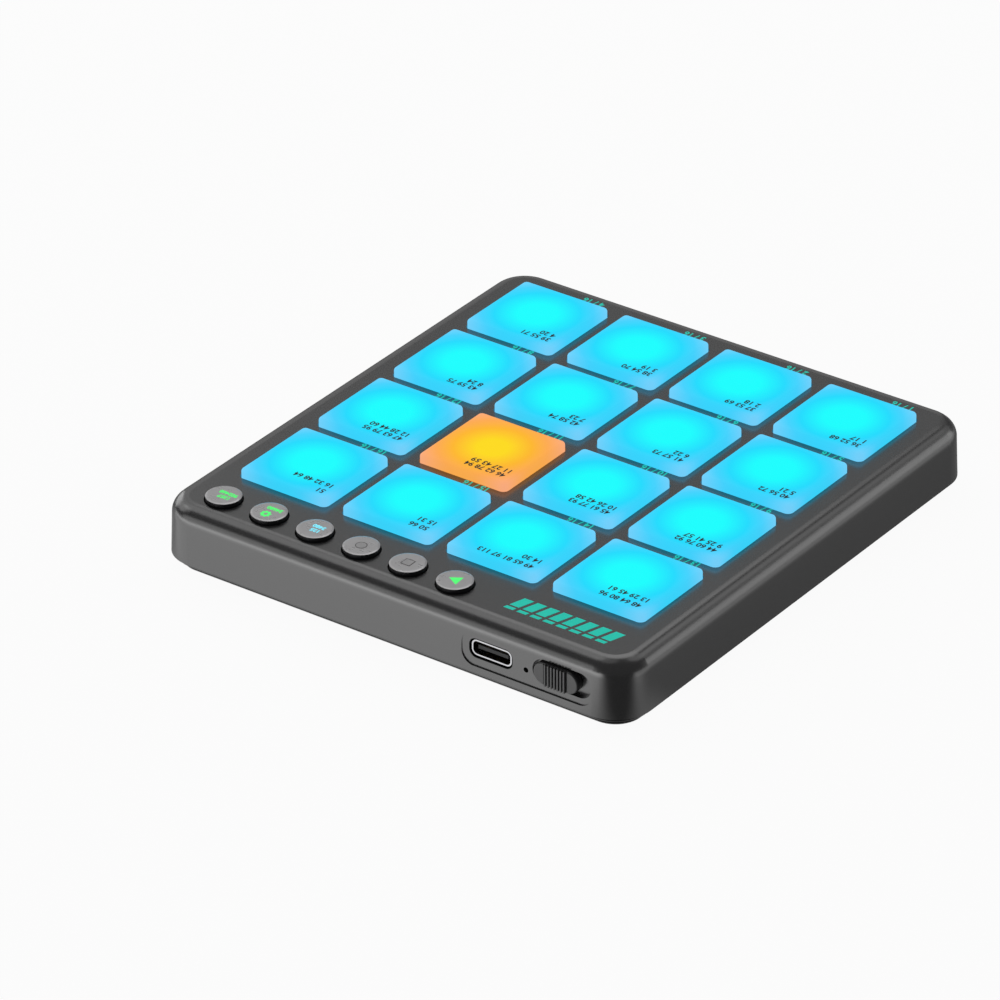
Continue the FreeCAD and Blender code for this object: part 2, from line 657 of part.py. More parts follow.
def make_base_cover():
    """Make the moulded base."""
    body = new_body()
    lip_top = "base_level + lip_height"
    bead_foot = f"{lip_top} + groove_height"
    seat_foot = f"{bead_foot} + bead_height"
    tongue = "wall + tongue_gap"
    sketch = new_sketch(body, "lip_plan", "XY", "base_level")
    body_outline(sketch, "lip_inset")
    grow(body, "lip", sketch, "lip_height", "+Z")
    dress(body, "Fillet", "lip_round_under", edges_at(body.Shape, "base_level"), "lip_round")
    sketch = new_sketch(body, "groove_plan", "XY", lip_top)
    body_outline(sketch, "groove_inset")
    grow(body, "groove", sketch, "groove_height", "+Z")
    sketch = new_sketch(body, "bead_plan", "XY", bead_foot)
    body_outline(sketch, "bead_inset")
    grow(body, "bead", sketch, "bead_height", "+Z")
    sketch = new_sketch(body, "seat_plan", "XY", seat_foot)
    body_outline(sketch, "seat_inset")
    grow(body, "seat", sketch, f"wall_foot - ({seat_foot})", "+Z")
    sketch = new_sketch(body, "tongue_plan", "XY", "wall_foot")
    body_outline(sketch, tongue)
    grow(body, "tongue", sketch, "tongue_rise", "+Z")
    sketch = new_sketch(body, "tray_plan", "XY", "floor_level")
    body_outline(sketch, f"{tongue} + tongue_wall")
    cut(body, "tray", sketch, "wall_foot + tongue_rise - floor_level", "+Z")
    sketch = new_sketch(body, "standoff_plan", "XY", "floor_level")
    for x, y in SCREW_PLACES:
        circle(sketch, x, y, "standoff_width")
    grow(body, "standoffs", sketch, "board_level - floor_level", "+Z")
    sketch = new_sketch(body, "bay_plan", "XY", "floor_level")
    for extra in ("0", "bay_thick"):
        wide = f"battery_width + 2 * (bay_gap + {extra})"
        long = f"battery_length + 2 * (bay_gap + {extra})"
        around(sketch, "0", "battery_y", wide, long)
    grow(body, "battery_bay", sketch, "bay_height", "+Z")
    base_holes(body)
    return keep(body, "base_cover")


def base_holes(body):
    """Cut the screws' counterbores and holes, the feet's recesses and the leads' way out."""
    sketch = new_sketch(body, "counterbore_plan", "XY", "base_level")
    for x, y in SCREW_PLACES:
        circle(sketch, x, y, "head_width + 2 * head_gap")
    cut(body, "counterbores", sketch, "head_sunk", "+Z")
    sketch = new_sketch(body, "shank_plan", "XY", "base_level")
    for x, y in SCREW_PLACES:
        circle(sketch, x, y, "screw_core + 2 * shank_gap")
    cut(body, "shank_holes", sketch, "board_level", "+Z")
    sketch = new_sketch(body, "foot_plan", "XY", "base_level")
    for x, y in FOOT_PLACES:
        circle(sketch, x, y, "foot_width + 2 * foot_gap")
    cut(body, "foot_recesses", sketch, "foot_sunk", "+Z")
    sketch = new_sketch(body, "lead_gap_plan", "XY", "floor_level + bay_height")
    around(sketch, "lead_place", "battery_rear + bay_gap + bay_thick / 2",
           "lead_pitch + lead_width + 2 * lead_gap", "bay_thick + overcut")
    cut(body, "lead_gap", sketch, "bay_height", "-Z")


# Pads

def make_pad(label, x, y):
    """Make one pad: a hollow cap with a flange that stops under the cover's roof."""
    body = new_body()
    sketch = new_sketch(body, "cap_plan", "XY", "pad_foot")
    around(sketch, "0", "0", "pad_x", "pad_y", "pad_corner")
    grow(body, "cap", sketch, "pad_top - pad_foot", "+Z")
    dress(body, "Fillet", "cap_round", edges_at(body.Shape, "pad_top"), "pad_edge")
    sketch = new_sketch(body, "flange_plan", "XY", "flange_top")
    around(sketch, "0", "0", "pad_x + 2 * pad_flange", "pad_y + 2 * pad_flange")
    grow(body, "flange", sketch, "flange_height", "-Z")
    sketch = new_sketch(body, "hollow_plan", "XY", "pad_foot")
    around(sketch, "0", "0", "cell_x", "cell_y")
    cut(body, "hollow", sketch, "pad_top - pad_skin - pad_foot", "+Z")
    place(body, x, y)
    return keep(body, label)


# Buttons and their push switches

def make_button(label, x, y):
    """Make one button: a bevelled disc with a flange and a stem."""
    body = new_body()
    sketch = new_sketch(body, "disc_plan", "XY", "flange_top")
    circle(sketch, "0", "0", "button_width")
    grow(body, "disc", sketch, "button_top - flange_top", "+Z")
    bevel = dress(body, "Chamfer", "disc_bevel", edges_at(body.Shape, "button_top"), "button_slope")
    bevel.ChamferType = "Two distances"
    bind(bevel, Size2="button_bevel")
    doc.recompute()
    sketch = new_sketch(body, "flange_plan", "XY", "flange_top")
    circle(sketch, "0", "0", "button_width + 2 * button_flange")
    grow(body, "flange", sketch, "button_flange_height", "-Z")
    sketch = new_sketch(body, "stem_plan", "XY", "plunger_top")
    circle(sketch, "0", "0", "button_stem")
    grow(body, "stem", sketch, "flange_top - plunger_top", "+Z")
    place(body, x, y)
    return keep(body, label)


def make_switches():
    """Make the push switches' housings and a plunger for each."""
    foot = "plunger_top - plunger_proud - plunger_depth"
    housings = []
    for index, (x, y) in enumerate(button_places(), 1):
        housing = block(x, y, "board_top", "tact_width", "tact_width", "tact_height")
        bore = cylinder(x, y, f"{foot} - button_travel - stop_gap",
                        "plunger_width + 2 * running_gap", "tact_height")
        housings.append(minus(housing, bore))
        plunger = cylinder(x, y, foot, "plunger_width", "plunger_proud + plunger_depth")
        keep(plunger, f"switch_plunger_{index}")
    keep(group(housings), "tact_switches")


# Power slider, its switch and the lever between them

def make_slider():
    """Make the slider: ribbed head, stem through the wall, inner plate and fork."""
    body = new_body()
    face = "panel_face + slider_proud"
    sketch = new_sketch(body, "head_plan", "XZ", face)
    stadium(sketch, "-slider_place", "slot_level", "slider_length", "slider_height")
    back = "(slot_floor + slider_gap)"
    grow(body, "head", sketch, f"{face} - {back}", "-Y")
    rim = [f"Edge{index}" for index, edge in enumerate(body.Shape.Edges, 1)
           if abs(edge.BoundBox.YMin - number(face)) < NEAR]
    dress(body, "Fillet", "head_round", rim, "slider_edge")
    grip = f"{face} + grip_proud"
    reach = "(groove_count - 1) * groove_pitch"
    sketch = new_sketch(body, "grip_plan", "XZ", grip)
    around(sketch, "-slider_place", "slot_level", reach, "slider_height")
    grow(body, "grip", sketch, "grip_proud + slider_edge", "-Y")
    sketch = new_sketch(body, "groove_plan", "XZ", grip)
    around(sketch, f"-slider_place - {reach} / 2", "slot_level", "groove_width",
           "slider_height + overcut")
    groove = cut(body, "groove", sketch, "groove_depth", "-Y")
    repeat(body, "grooves", groove, "X", "groove_pitch", "groove_count")
    sketch = new_sketch(body, "stem_plan", "XZ", back)
    around(sketch, "-slider_place", "slot_level", "stem_length", "stem_height")
    grow(body, "stem", sketch, f"{back} - keeper_front", "-Y")
    sketch = new_sketch(body, "keeper_plan", "XZ", "keeper_front")
    around(sketch, "-slider_place", "slot_level", "keeper_length", "keeper_height")
    grow(body, "keeper", sketch, "keeper_thick", "-Y")
    sketch = new_sketch(body, "fork_plan", "XZ", "keeper_back")
    for side in "-+":
        middle = f"-slider_place {side} (lever_length / 2 + running_gap + fork_thick / 2)"
        around(sketch, middle, "slot_level", "fork_thick", "stem_height")
    grow(body, "fork", sketch, "fork_length", "-Y")
    return keep(body, "power_slider")


def make_power_switch():
    """Make the slide switch's housing and its lever."""
    housing = box("-slot_place - switch_length / 2", "switch_front - switch_depth", "board_top",
                  "switch_length", "switch_depth", "switch_height")
    way = box("-slot_place - (lever_length + slider_travel) / 2 - running_gap",
              "switch_front - lever_depth - stop_gap", "slot_level - lever_height / 2 - running_gap",
              "lever_length + slider_travel + 2 * running_gap", "lever_depth + stop_gap + overcut",
              "lever_height + 2 * running_gap")
    keep(minus(housing, way), "power_switch")
    keep(box("-slider_place - lever_length / 2", "switch_front - lever_depth",
             "slot_level - lever_height / 2", "lever_length", "lever_reach + lever_depth",
             "lever_height"), "switch_lever")


# Socket

def make_socket():
    """Make the socket's sheet shell and the plastic with its tongue."""
    body = new_body()
    sketch = new_sketch(body, "shell_plan", "XZ", "usb_front")
    around(sketch, "-usb_place", "usb_level", "usb_width", "usb_height", "usb_corner")
    grow(body, "shell", sketch, "usb_length", "-Y")
    sketch = new_sketch(body, "mouth_plan", "XZ", "usb_front")
    inner = ("usb_width - 2 * usb_wall", "usb_height - 2 * usb_wall", "usb_corner - usb_wall")
    around(sketch, "-usb_place", "usb_level", *inner)
    cut(body, "mouth", sketch, "usb_length - usb_wall", "-Y")
    keep(body, "usb_shell")
    body = new_body()
    sketch = new_sketch(body, "plug_plan", "XZ", "usb_front - usb_length + usb_wall")
    around(sketch, "-usb_place", "usb_level", *inner)
    grow(body, "plug", sketch, "usb_back", "+Y")
    sketch = new_sketch(body, "tongue_plan", "XZ", "usb_front - usb_length + usb_wall")
    around(sketch, "-usb_place", "usb_level", "tongue_width", "tongue_thick")
    grow(body, "tongue", sketch, "usb_length - usb_wall - tongue_recess", "+Y")
    keep(body, "usb_tongue")


# Circuit board, light frame, sensor film and what sits on the board

def make_board():
    """Make the circuit board with its screw holes."""
    body = new_body()
    sketch = new_sketch(body, "board_plan", "XY", "board_level")
    body_outline(sketch, "wall + board_gap")
    grow(body, "board", sketch, "board_thick", "+Z")
    sketch = new_sketch(body, "hole_plan", "XY", "board_level")
    for x, y in SCREW_PLACES:
        circle(sketch, x, y, "screw_core + 2 * shank_gap")
    cut(body, "holes", sketch, "board_thick", "+Z")
    keep(body, "circuit_board")


def make_light_frame():
    """Make the frame of light cells, hollow from below between the cells."""
    body = new_body()
    sketch = new_sketch(body, "frame_plan", "XY", "board_top")
    film_outline(sketch)
    grow(body, "frame", sketch, "frame_height", "+Z")
    cell = cut(body, "cell", first_cell(body, "cell_plan", "board_top"), "frame_height", "+Z")
    repeat_grid(body, "cells", cell)
    sketch = new_sketch(body, "channel_along", "XY", "board_top")
    around(sketch, "-half_x + pitch_x / 2", "grid_y", "pitch_x - cell_x - 2 * frame_skin",
           "2 * half_y + cell_y")
    channel = cut(body, "channel_y", sketch, "frame_height - frame_skin", "+Z")
    repeat(body, "channels_y", channel, "X", "pitch_x", "pad_count - 1")
    sketch = new_sketch(body, "channel_across", "XY", "board_top")
    around(sketch, "0", "grid_y - half_y + pitch_y / 2", "2 * half_x + cell_x",
           "pitch_y - cell_y - 2 * frame_skin")
    channel = cut(body, "channel_x", sketch, "frame_height - frame_skin", "+Z")
    repeat(body, "channels_x", channel, "Y", "pitch_y", "pad_count - 1")
    keep(body, "light_frame")


def make_film():
    """Make the force-sensing film with its light openings."""
    body = new_body()
    sketch = new_sketch(body, "film_plan", "XY", "film_level")
    film_outline(sketch)
    grow(body, "film", sketch, "film_thick", "+Z")
    cell = cut(body, "cell", first_cell(body, "cell_plan", "film_level"), "film_thick", "+Z")
    repeat_grid(body, "cells", cell)
    keep(body, "sensor_film")


def make_lights():
    """Make the LED under each pad and the charge indicator behind the pinhole."""
    keep(group([block(x, y, "board_top", "led_width", "led_width", "led_height")
                for x, y in pad_places()]), "pad_leds")
    keep(box("-pinhole_place - charge_width / 2", "inner_rear - board_gap - charge_depth",
             "board_top", "charge_width", "charge_depth", "charge_height"), "charge_led")


def make_electronics():
    """Make the chips under the board."""
    keep(block("chip_side", "chip_row", "board_level - chip_height",
               "chip_width", "chip_width", "chip_height"), "controller_chip")
    radio = "board_level - radio_thick"
    keep(block("-radio_side", "chip_row", radio, "radio_width", "radio_length", "radio_thick"),
         "radio_board")
    keep(block("-radio_side", "chip_row - antenna_length / 2", f"{radio} - shield_height",
               "radio_width - 2 * shield_margin", "radio_length - antenna_length - 2 * shield_margin",
               "shield_height"), "radio_shield")


# Battery, its tape, leads and socket

def make_battery():
    """Make the battery, the tape that holds it, its leads and their socket."""
    body = new_body()
    sketch = new_sketch(body, "pouch_plan", "XY", "battery_level")
    around(sketch, "0", "battery_y", "battery_width", "battery_length", "battery_corner")
    grow(body, "pouch", sketch, "battery_thick", "+Z")
    keep(body, "battery")
    keep(block("0", "battery_y", "floor_level", "battery_width - 2 * tape_margin",
               "battery_length - 2 * tape_margin", "tape_thick"), "battery_tape")
    middle = "battery_rear + lead_start + lead_bend"
    socket_left = "lead_place + lead_bend + lead_end"
    keep(box(socket_left, f"{middle} - socket_width / 2", "board_level - socket_height",
             "socket_width", "socket_width", "socket_height"), "battery_socket")
    keep(group([make_lead(side) for side in "-+"]), "battery_leads")


def make_lead(side):
    """Make one lead: out of the battery, round a quarter turn and into the socket."""
    shift = f"{side} lead_pitch / 2"
    bend = f"(lead_bend {side} lead_pitch / 2)"
    centre_x = "(lead_place + lead_bend)"
    centre_y = "(battery_rear + lead_start)"
    out = doc.addObject("Part::Cylinder", "lead_out")
    out.Placement.Rotation = FreeCAD.Rotation(Vector(1, 0, 0), -90)
    bind(out, Radius="lead_width / 2", Height="lead_start")
    place(out, f"{centre_x} - {bend}", "battery_rear", "lead_level")
    turn = doc.addObject("Part::Torus", "lead_turn")
    turn.Placement.Rotation = FreeCAD.Rotation(Vector(0, 0, 1), 90)
    turn.Angle3 = 90
    bind(turn, Radius1=bend, Radius2="lead_width / 2")
    place(turn, centre_x, centre_y, "lead_level")
    home = doc.addObject("Part::Cylinder", "lead_home")
    home.Placement.Rotation = FreeCAD.Rotation(Vector(0, 1, 0), 90)
    bind(home, Radius="lead_width / 2", Height="lead_end")
    place(home, centre_x, f"{centre_y} + lead_bend {shift}", "lead_level")
    return joined(out, turn, home)


# Screws and feet

def make_screw(x, y):
    """Make one self-tapping screw with a cross in its head."""
    head = cylinder(x, y, "screw_seat - head_height", "head_width", "head_height")
    shank = cylinder(x, y, "screw_seat", "screw_core", "screw_length")
    low = "screw_seat - head_height - overcut"
    across = block(x, y, low, "cross_length", "cross_width", "cross_depth + overcut")
    along = block(x, y, low, "cross_width", "cross_length", "cross_depth + overcut")
    return minus(joined(head, shank), joined(across, along))


def make_foot(label, x, y):
    """Make one rubber foot, sunk in the base."""
    body = new_body()
    sketch = new_sketch(body, "foot_plan", "XY", "0")
    circle(sketch, "0", "0", "foot_width")
    grow(body, "foot", sketch, "foot_proud + foot_sunk", "+Z")
    dress(body, "Chamfer", "foot_bevel", edges_at(body.Shape, "0"), "foot_edge")
    place(body, x, y)
    return keep(body, label)


def check_model():
    """Stop if any object failed or any sub-part has no valid solid."""
    for item in doc.Objects:
        if "Invalid" in item.State or "Error" in item.State:
            raise RuntimeError(f"{item.Label} failed: {item.State}")
    for item in parts:
        if item.Shape.isNull() or not item.Shape.isValid() or not item.Shape.Solids:
            raise RuntimeError(f"{item.Label} has no valid solid")


def write_parts():
    """Write each sub-part to its own file."""
    os.makedirs("parts", exist_ok=True)
    for item in parts:
        item.Shape.exportStep(f"parts/{item.Label}.step")
        solids = item.Shape.Solids
        print(f"{item.Label}: {len(solids)} solid(s), {sum(solid.Volume for solid in solids):.2f} mm3")


make_top_cover()
make_base_cover()
for pad_number, pad_place in enumerate(pad_places(), 1):
    make_pad(f"pad_{pad_number:02d}", *pad_place)
for button_number, button_place in enumerate(button_places(), 1):
    make_button(f"button_{button_number}", *button_place)
make_switches()
make_slider()
make_power_switch()
make_socket()
make_board()
make_light_frame()
make_film()
make_lights()
make_electronics()
make_battery()
keep(group([make_screw(*screw_place) for screw_place in SCREW_PLACES]), "case_screws")
for foot_number, foot_place in enumerate(FOOT_PLACES, 1):
    make_foot(f"foot_{foot_number}", *foot_place)
doc.recompute()
check_model()
write_parts()
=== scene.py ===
"""Looks of a pad controller: sixteen lit pads, six round buttons and a socketed rear wall.

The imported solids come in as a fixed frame. This script gives each of them a finish, adds the
printed numbers, the marks on the buttons and the contacts in the socket, and sets the object on
a pale floor under studio lamps. Lengths are in millimetres until they become mesh points, which
are in metres. +Z is up, the player sits at -Y and the rear wall faces +Y.
"""

import json
import logging
import math
from dataclasses import dataclass
from enum import Enum
from typing import Any, Iterable, Sequence

import bmesh
import bpy
from mathutils import Matrix, Vector

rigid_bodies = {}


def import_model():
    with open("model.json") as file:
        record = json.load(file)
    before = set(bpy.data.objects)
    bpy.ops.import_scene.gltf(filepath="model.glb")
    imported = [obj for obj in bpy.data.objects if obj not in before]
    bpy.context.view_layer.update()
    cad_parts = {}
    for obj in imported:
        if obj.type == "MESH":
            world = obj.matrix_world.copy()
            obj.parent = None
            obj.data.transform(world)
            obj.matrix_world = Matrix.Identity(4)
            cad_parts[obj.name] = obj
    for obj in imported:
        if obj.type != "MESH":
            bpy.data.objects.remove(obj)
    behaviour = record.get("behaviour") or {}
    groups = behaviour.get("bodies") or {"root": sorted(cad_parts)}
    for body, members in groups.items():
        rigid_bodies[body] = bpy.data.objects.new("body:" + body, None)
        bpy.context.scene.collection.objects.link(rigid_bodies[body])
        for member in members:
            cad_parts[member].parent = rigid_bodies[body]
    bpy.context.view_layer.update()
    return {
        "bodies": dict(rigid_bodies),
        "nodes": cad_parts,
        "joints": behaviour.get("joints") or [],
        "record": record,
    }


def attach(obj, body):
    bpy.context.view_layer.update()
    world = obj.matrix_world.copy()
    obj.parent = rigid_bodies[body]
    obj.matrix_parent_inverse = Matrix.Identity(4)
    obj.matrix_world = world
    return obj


LOG = logging.getLogger("pad_controller")
MM = 0.001
PROUD = 0.02
FONT_STEPS = 3
FONT_HALF = 0.5
Point = tuple[float, float]
Triple = tuple[float, float, float]
Stop = tuple[float, Triple]


def linear(colour: Triple) -> tuple[float, float, float, float]:
    """Turn a display colour into a linear one.

    Args:
        colour: red, green and blue, each from 0 to 255.

    Returns:
        Linear red, green, blue and an alpha of 1.
    """
    parts = [value / 255 for value in colour]
    red, green, blue = (p / 12.92 if p <= 0.04045 else ((p + 0.055) / 1.055) ** 2.4 for p in parts)
    return red, green, blue, 1.0


class Slot(str, Enum):
    """Material slots that the record names."""

    CASE = "case"
    PAD = "pad_lit"
    PAD_ORANGE = "pad_lit_orange"
    BUTTON = "button_metal"
    SLIDER = "slider_plastic"
    SHELL = "shell_metal"
    CONNECTOR = "connector"
    BOARD = "board"
    LED = "led_body"
    WHITE = "white_plastic"
    FILM = "film"
    SWITCH = "switch_plastic"
    SWITCH_METAL = "switch_metal"
    CHIP = "chip"
    FOIL = "battery_foil"
    TAPE = "tape"
    LEAD = "lead_cover"
    SCREW = "screw_steel"
    FOOT = "foot_rubber"


class Ink(str, Enum):
    """Inks and platings of the small added pieces."""

    LEGEND = "legend_ink"
    TEAL = "teal_ink"
    GREEN = "mark_green"
    CYAN = "mark_cyan"
    GREY = "mark_grey"
    DARK = "mark_dark"
    GOLD = "contact_gold"


class Graph:
    """A node tree with short calls that add, set and wire nodes."""

    def __init__(self, tree: bpy.types.NodeTree) -> None:
        """Keep the tree."""
        self.tree = tree

    def add(self, kind: str, values: dict[str, Any] | None = None,
            **settings: Any) -> bpy.types.Node:
        """Add a node.

        Args:
            kind: the node's type, without its ShaderNode prefix.
            values: input sockets by name, each a plain value or a socket to wire in.
            settings: the node's own properties.

        Returns:
            The new node.
        """
        node = self.tree.nodes.new("ShaderNode" + kind)
        for name, value in settings.items():
            setattr(node, name, value)
        for name, value in (values or {}).items():
            target = node.inputs[int(name)] if name.isdigit() else node.inputs[name]
            if isinstance(value, bpy.types.NodeSocket):
                self.tree.links.new(value, target)
            else:
                target.default_value = value
        return node

    def maths(self, operation: str, *terms: Any) -> bpy.types.NodeSocket:
        """Add a Math node over plain values and sockets, and return its result."""
        values = {str(index): term for index, term in enumerate(terms)}
        return self.add("Math", values, operation=operation).outputs[0]

    def ease(self, value: bpy.types.NodeSocket, reach: tuple[float, float],
             ends: tuple[float, float] = (0.0, 1.0)) -> bpy.types.NodeSocket:
        """Go smoothly from one value to another.

        Args:
            value: what is read.
            reach: where the change starts and where it is complete.
            ends: the result before the start and after the end.

        Returns:
            The eased value.
        """
        node = self.add("MapRange", {"Value": value, "From Min": reach[0], "From Max": reach[1],
                                     "To Min": ends[0], "To Max": ends[1]},
                        interpolation_type="SMOOTHSTEP")
        return node.outputs["Result"]

    def place(self) -> bpy.types.NodeSocket:
        """Return the point being shaded, in metres, in the object's own frame."""
        return self.add("TexCoord").outputs["Object"]

    def ramp(self, factor: bpy.types.NodeSocket, stops: Sequence[Stop]) -> bpy.types.NodeSocket:
        """Add a colour ramp.

        Args:
            factor: where to read the ramp, from 0 to 1.
            stops: places from 0 to 1, each with a display colour.

        Returns:
            The ramp's colour.
        """
        node = self.add("ValToRGB", {"Fac": factor})
        elements = node.color_ramp.elements
        while len(elements) < len(stops):
            elements.new(0.5)
        for element, (at, colour) in zip(elements, stops):
            element.position = at
            element.color = linear(colour)
        return node.outputs["Color"]

    def group(self, tree: bpy.types.NodeTree, values: dict[str, Any]) -> bpy.types.Node:
        """Place a node group with its own values."""
        node = self.add("Group")
        node.node_tree = tree
        for name, value in values.items():
            if isinstance(value, bpy.types.NodeSocket):
                self.tree.links.new(value, node.inputs[name])
            else:
                node.inputs[name].default_value = value
        return node


def start_group(name: str, inputs: Iterable[tuple[str, str, Any]],
                outputs: Iterable[tuple[str, str]]
                ) -> tuple[bpy.types.NodeTree, Graph, bpy.types.Node, bpy.types.Node]:
    """Begin a shader node group.

    Args:
        name: the group's name.
        inputs: name, kind of socket and default value of each input.
        outputs: name and kind of socket of each output.

    Returns:
        The group, its graph, its input node and its output node.
    """
    tree = bpy.data.node_groups.new(name, "ShaderNodeTree")
    for label, kind, value in inputs:
        socket = tree.interface.new_socket(label, in_out="INPUT", socket_type="NodeSocket" + kind)
        socket.default_value = value
    for label, kind in outputs:
        tree.interface.new_socket(label, in_out="OUTPUT", socket_type="NodeSocket" + kind)
    graph = Graph(tree)
    return tree, graph, tree.nodes.new("NodeGroupInput"), tree.nodes.new("NodeGroupOutput")


class Effects:
    """Shared effects, each a shader node group that is built once."""

    def __init__(self) -> None:
        """Build every group."""
        self.grain = self._grain()
        self.handling = self._handling()
        self.shift = self._shift()
        self.cell = self._cell()

    def _grain(self) -> bpy.types.NodeTree:
        """Fine moulded or blasted texture, as a height."""
        tree, graph, given, out = start_group(
            "fine_grain", [("Pitch", "Float", 0.3), ("Depth", "Float", 0.5)], [("Height", "Float")])
        scale = graph.maths("DIVIDE", 1.0 / MM, given.outputs["Pitch"])
        pits = graph.add("TexVoronoi", {"Vector": graph.place(), "Scale": scale},
                         feature="SMOOTH_F1")
        coarse = graph.maths("MULTIPLY", scale, 0.6)
        cloud = graph.add("TexNoise", {"Vector": graph.place(), "Scale": coarse, "Detail": 3.0})
        both = graph.maths("ADD", pits.outputs["Distance"], cloud.outputs["Fac"])
        tree.links.new(graph.maths("MULTIPLY", both, given.outputs["Depth"]), out.inputs["Height"])
        return tree

    def _handling(self) -> bpy.types.NodeTree:
        """Roughness that wanders where hands and cloths have been."""
        tree, graph, given, out = start_group(
            "handling",
            [("Roughness", "Float", 0.5), ("Spread", "Float", 0.05), ("Patch", "Float", 20.0)],
            [("Roughness", "Float")])
        scale = graph.maths("DIVIDE", 1.0 / MM, given.outputs["Patch"])
        cloud = graph.add("TexNoise", {"Vector": graph.place(), "Scale": scale, "Detail": 4.0})
        offset = graph.maths("MULTIPLY", graph.maths("SUBTRACT", cloud.outputs["Fac"], 0.5),
                             given.outputs["Spread"])
        total = graph.maths("ADD", given.outputs["Roughness"], graph.maths("MULTIPLY", offset, 2.0))
        tree.links.new(total, out.inputs["Roughness"])
        return tree

    def _shift(self) -> bpy.types.NodeTree:
        """A colour that drifts a little lighter and darker over the surface."""
        tree, graph, given, out = start_group(
            "colour_shift", [("Color", "Color", (0.5, 0.5, 0.5, 1.0)), ("Amount", "Float", 0.1),
                             ("Patch", "Float", 8.0)], [("Color", "Color")])
        scale = graph.maths("DIVIDE", 1.0 / MM, given.outputs["Patch"])
        cloud = graph.add("TexNoise", {"Vector": graph.place(), "Scale": scale, "Detail": 5.0})
        offset = graph.maths("SUBTRACT", cloud.outputs["Fac"], 0.5)
        value = graph.maths("ADD", 1.0, graph.maths("MULTIPLY", offset, given.outputs["Amount"]))
        shifted = graph.add("HueSaturation", {"Color": given.outputs["Color"], "Value": value})
        tree.links.new(shifted.outputs["Color"], out.inputs["Color"])
        return tree

    def _cell(self) -> bpy.types.NodeTree:
        """Distance from the middle of the nearest pad, in millimetres."""
        tree, graph, given, out = start_group(
            "pad_distance", [("Pitch", "Float", 24.0), ("Row Shift", "Float", -4.3)],
            [("Distance", "Float")])
        axes = graph.add("SeparateXYZ", {"Vector": graph.place()})
        squares = []
        for axis, shift in (("X", 0.0), ("Y", given.outputs["Row Shift"])):
            along = graph.maths("MULTIPLY", axes.outputs[axis], 1.0 / MM)
            shifted = graph.maths("SUBTRACT", along, shift)
            cells = graph.maths("DIVIDE", shifted, given.outputs["Pitch"])
            local = graph.maths("SUBTRACT", graph.maths("FRACT", cells), 0.5)
            across = graph.maths("MULTIPLY", local, given.outputs["Pitch"])
            squares.append(graph.maths("MULTIPLY", across, across))
        tree.links.new(graph.maths("SQRT", graph.maths("ADD", *squares)), out.inputs["Distance"])
        return tree


@dataclass(frozen=True)
class Finish:
    """A finish: one colour that drifts, with its gloss and its fine texture."""

    colour: Triple
    roughness: float = 0.5
    spread: float = 0.06
    patch: float = 18.0
    drift: float = 0.10
    grain_pitch: float = 0.3
    grain_depth: float = 0.3
    bump: float = 0.004
    metallic: float = 0.0
    ior: float = 1.5

    def build(self, name: str, effects: Effects) -> bpy.types.Material:
        """Build the material.

        Args:
            name: the material's name.
            effects: the shared node groups.

        Returns:
            The finished material.
        """
        material = bpy.data.materials.new(name)
        material.use_nodes = True
        graph = Graph(material.node_tree)
        shader = material.node_tree.nodes["Principled BSDF"]
        shader.inputs["Metallic"].default_value = self.metallic
        shader.inputs["IOR"].default_value = self.ior
        rough = graph.group(effects.handling, {"Roughness": self.roughness, "Spread": self.spread,
                                               "Patch": self.patch})
        links = material.node_tree.links
        links.new(rough.outputs["Roughness"], shader.inputs["Roughness"])
        height = graph.group(effects.grain, {"Pitch": self.grain_pitch, "Depth": self.grain_depth})
        bump = graph.add("Bump", {"Height": height.outputs["Height"], "Strength": 1.0,
                                  "Distance": self.bump * MM})
        links.new(bump.outputs["Normal"], shader.inputs["Normal"])
        links.new(self.tint(graph, effects), shader.inputs["Base Color"])
        self.extra(graph, effects, shader)
        return material

    def tint(self, graph: Graph, effects: Effects) -> bpy.types.NodeSocket:
        """Return the surface's colour."""
        node = graph.group(effects.shift, {"Color": linear(self.colour), "Amount": self.drift,
                                           "Patch": self.patch})
        return node.outputs["Color"]

    def extra(self, graph: Graph, effects: Effects, shader: bpy.types.Node) -> None:
        """Add what only one kind of finish has."""


@dataclass(frozen=True)
class LitRubber(Finish):
    """Translucent rubber over a lamp: brightest in the middle, paler towards the rim.

    Attributes:
        stops: distances from the pad's middle in millimetres, each with the light's colour.
        reach: distance at which the last colour is kept.
        glow: strength of the light.
        dim: the rubber's own colour, as a share of its light's.
        specular: how strongly the surface mirrors.
        drift_light: how far the light varies over the pad, in patches of patch_light.
    """

    stops: tuple[Stop, ...] = ()
    reach: float = 14.6
    glow: float = 0.92
    dim: float = 0.14
    specular: float = 0.06
    drift_light: float = 0.02
    patch_light: float = 3.0

    def _light(self, graph: Graph, effects: Effects) -> bpy.types.NodeSocket:
        """Return the colour of the light that comes through."""
        cell = graph.group(effects.cell, {})
        factor = graph.maths("DIVIDE", cell.outputs["Distance"], self.reach)
        return graph.ramp(factor, [(at / self.reach, colour) for at, colour in self.stops])

    def tint(self, graph: Graph, effects: Effects) -> bpy.types.NodeSocket:
        """Return the rubber's own colour, a darker copy of its light."""
        light = self._light(graph, effects)
        node = graph.add("HueSaturation", {"Color": light, "Value": self.dim})
        return node.outputs["Color"]

    def extra(self, graph: Graph, effects: Effects, shader: bpy.types.Node) -> None:
        """Let the light through, a little unevenly."""
        light = self._light(graph, effects)
        drifted = graph.group(effects.shift, {"Color": light, "Amount": self.drift_light,
                                              "Patch": self.patch_light})
        graph.tree.links.new(drifted.outputs["Color"], shader.inputs["Emission Color"])
        shader.inputs["Emission Strength"].default_value = self.glow
        shader.inputs["Specular IOR Level"].default_value = self.specular


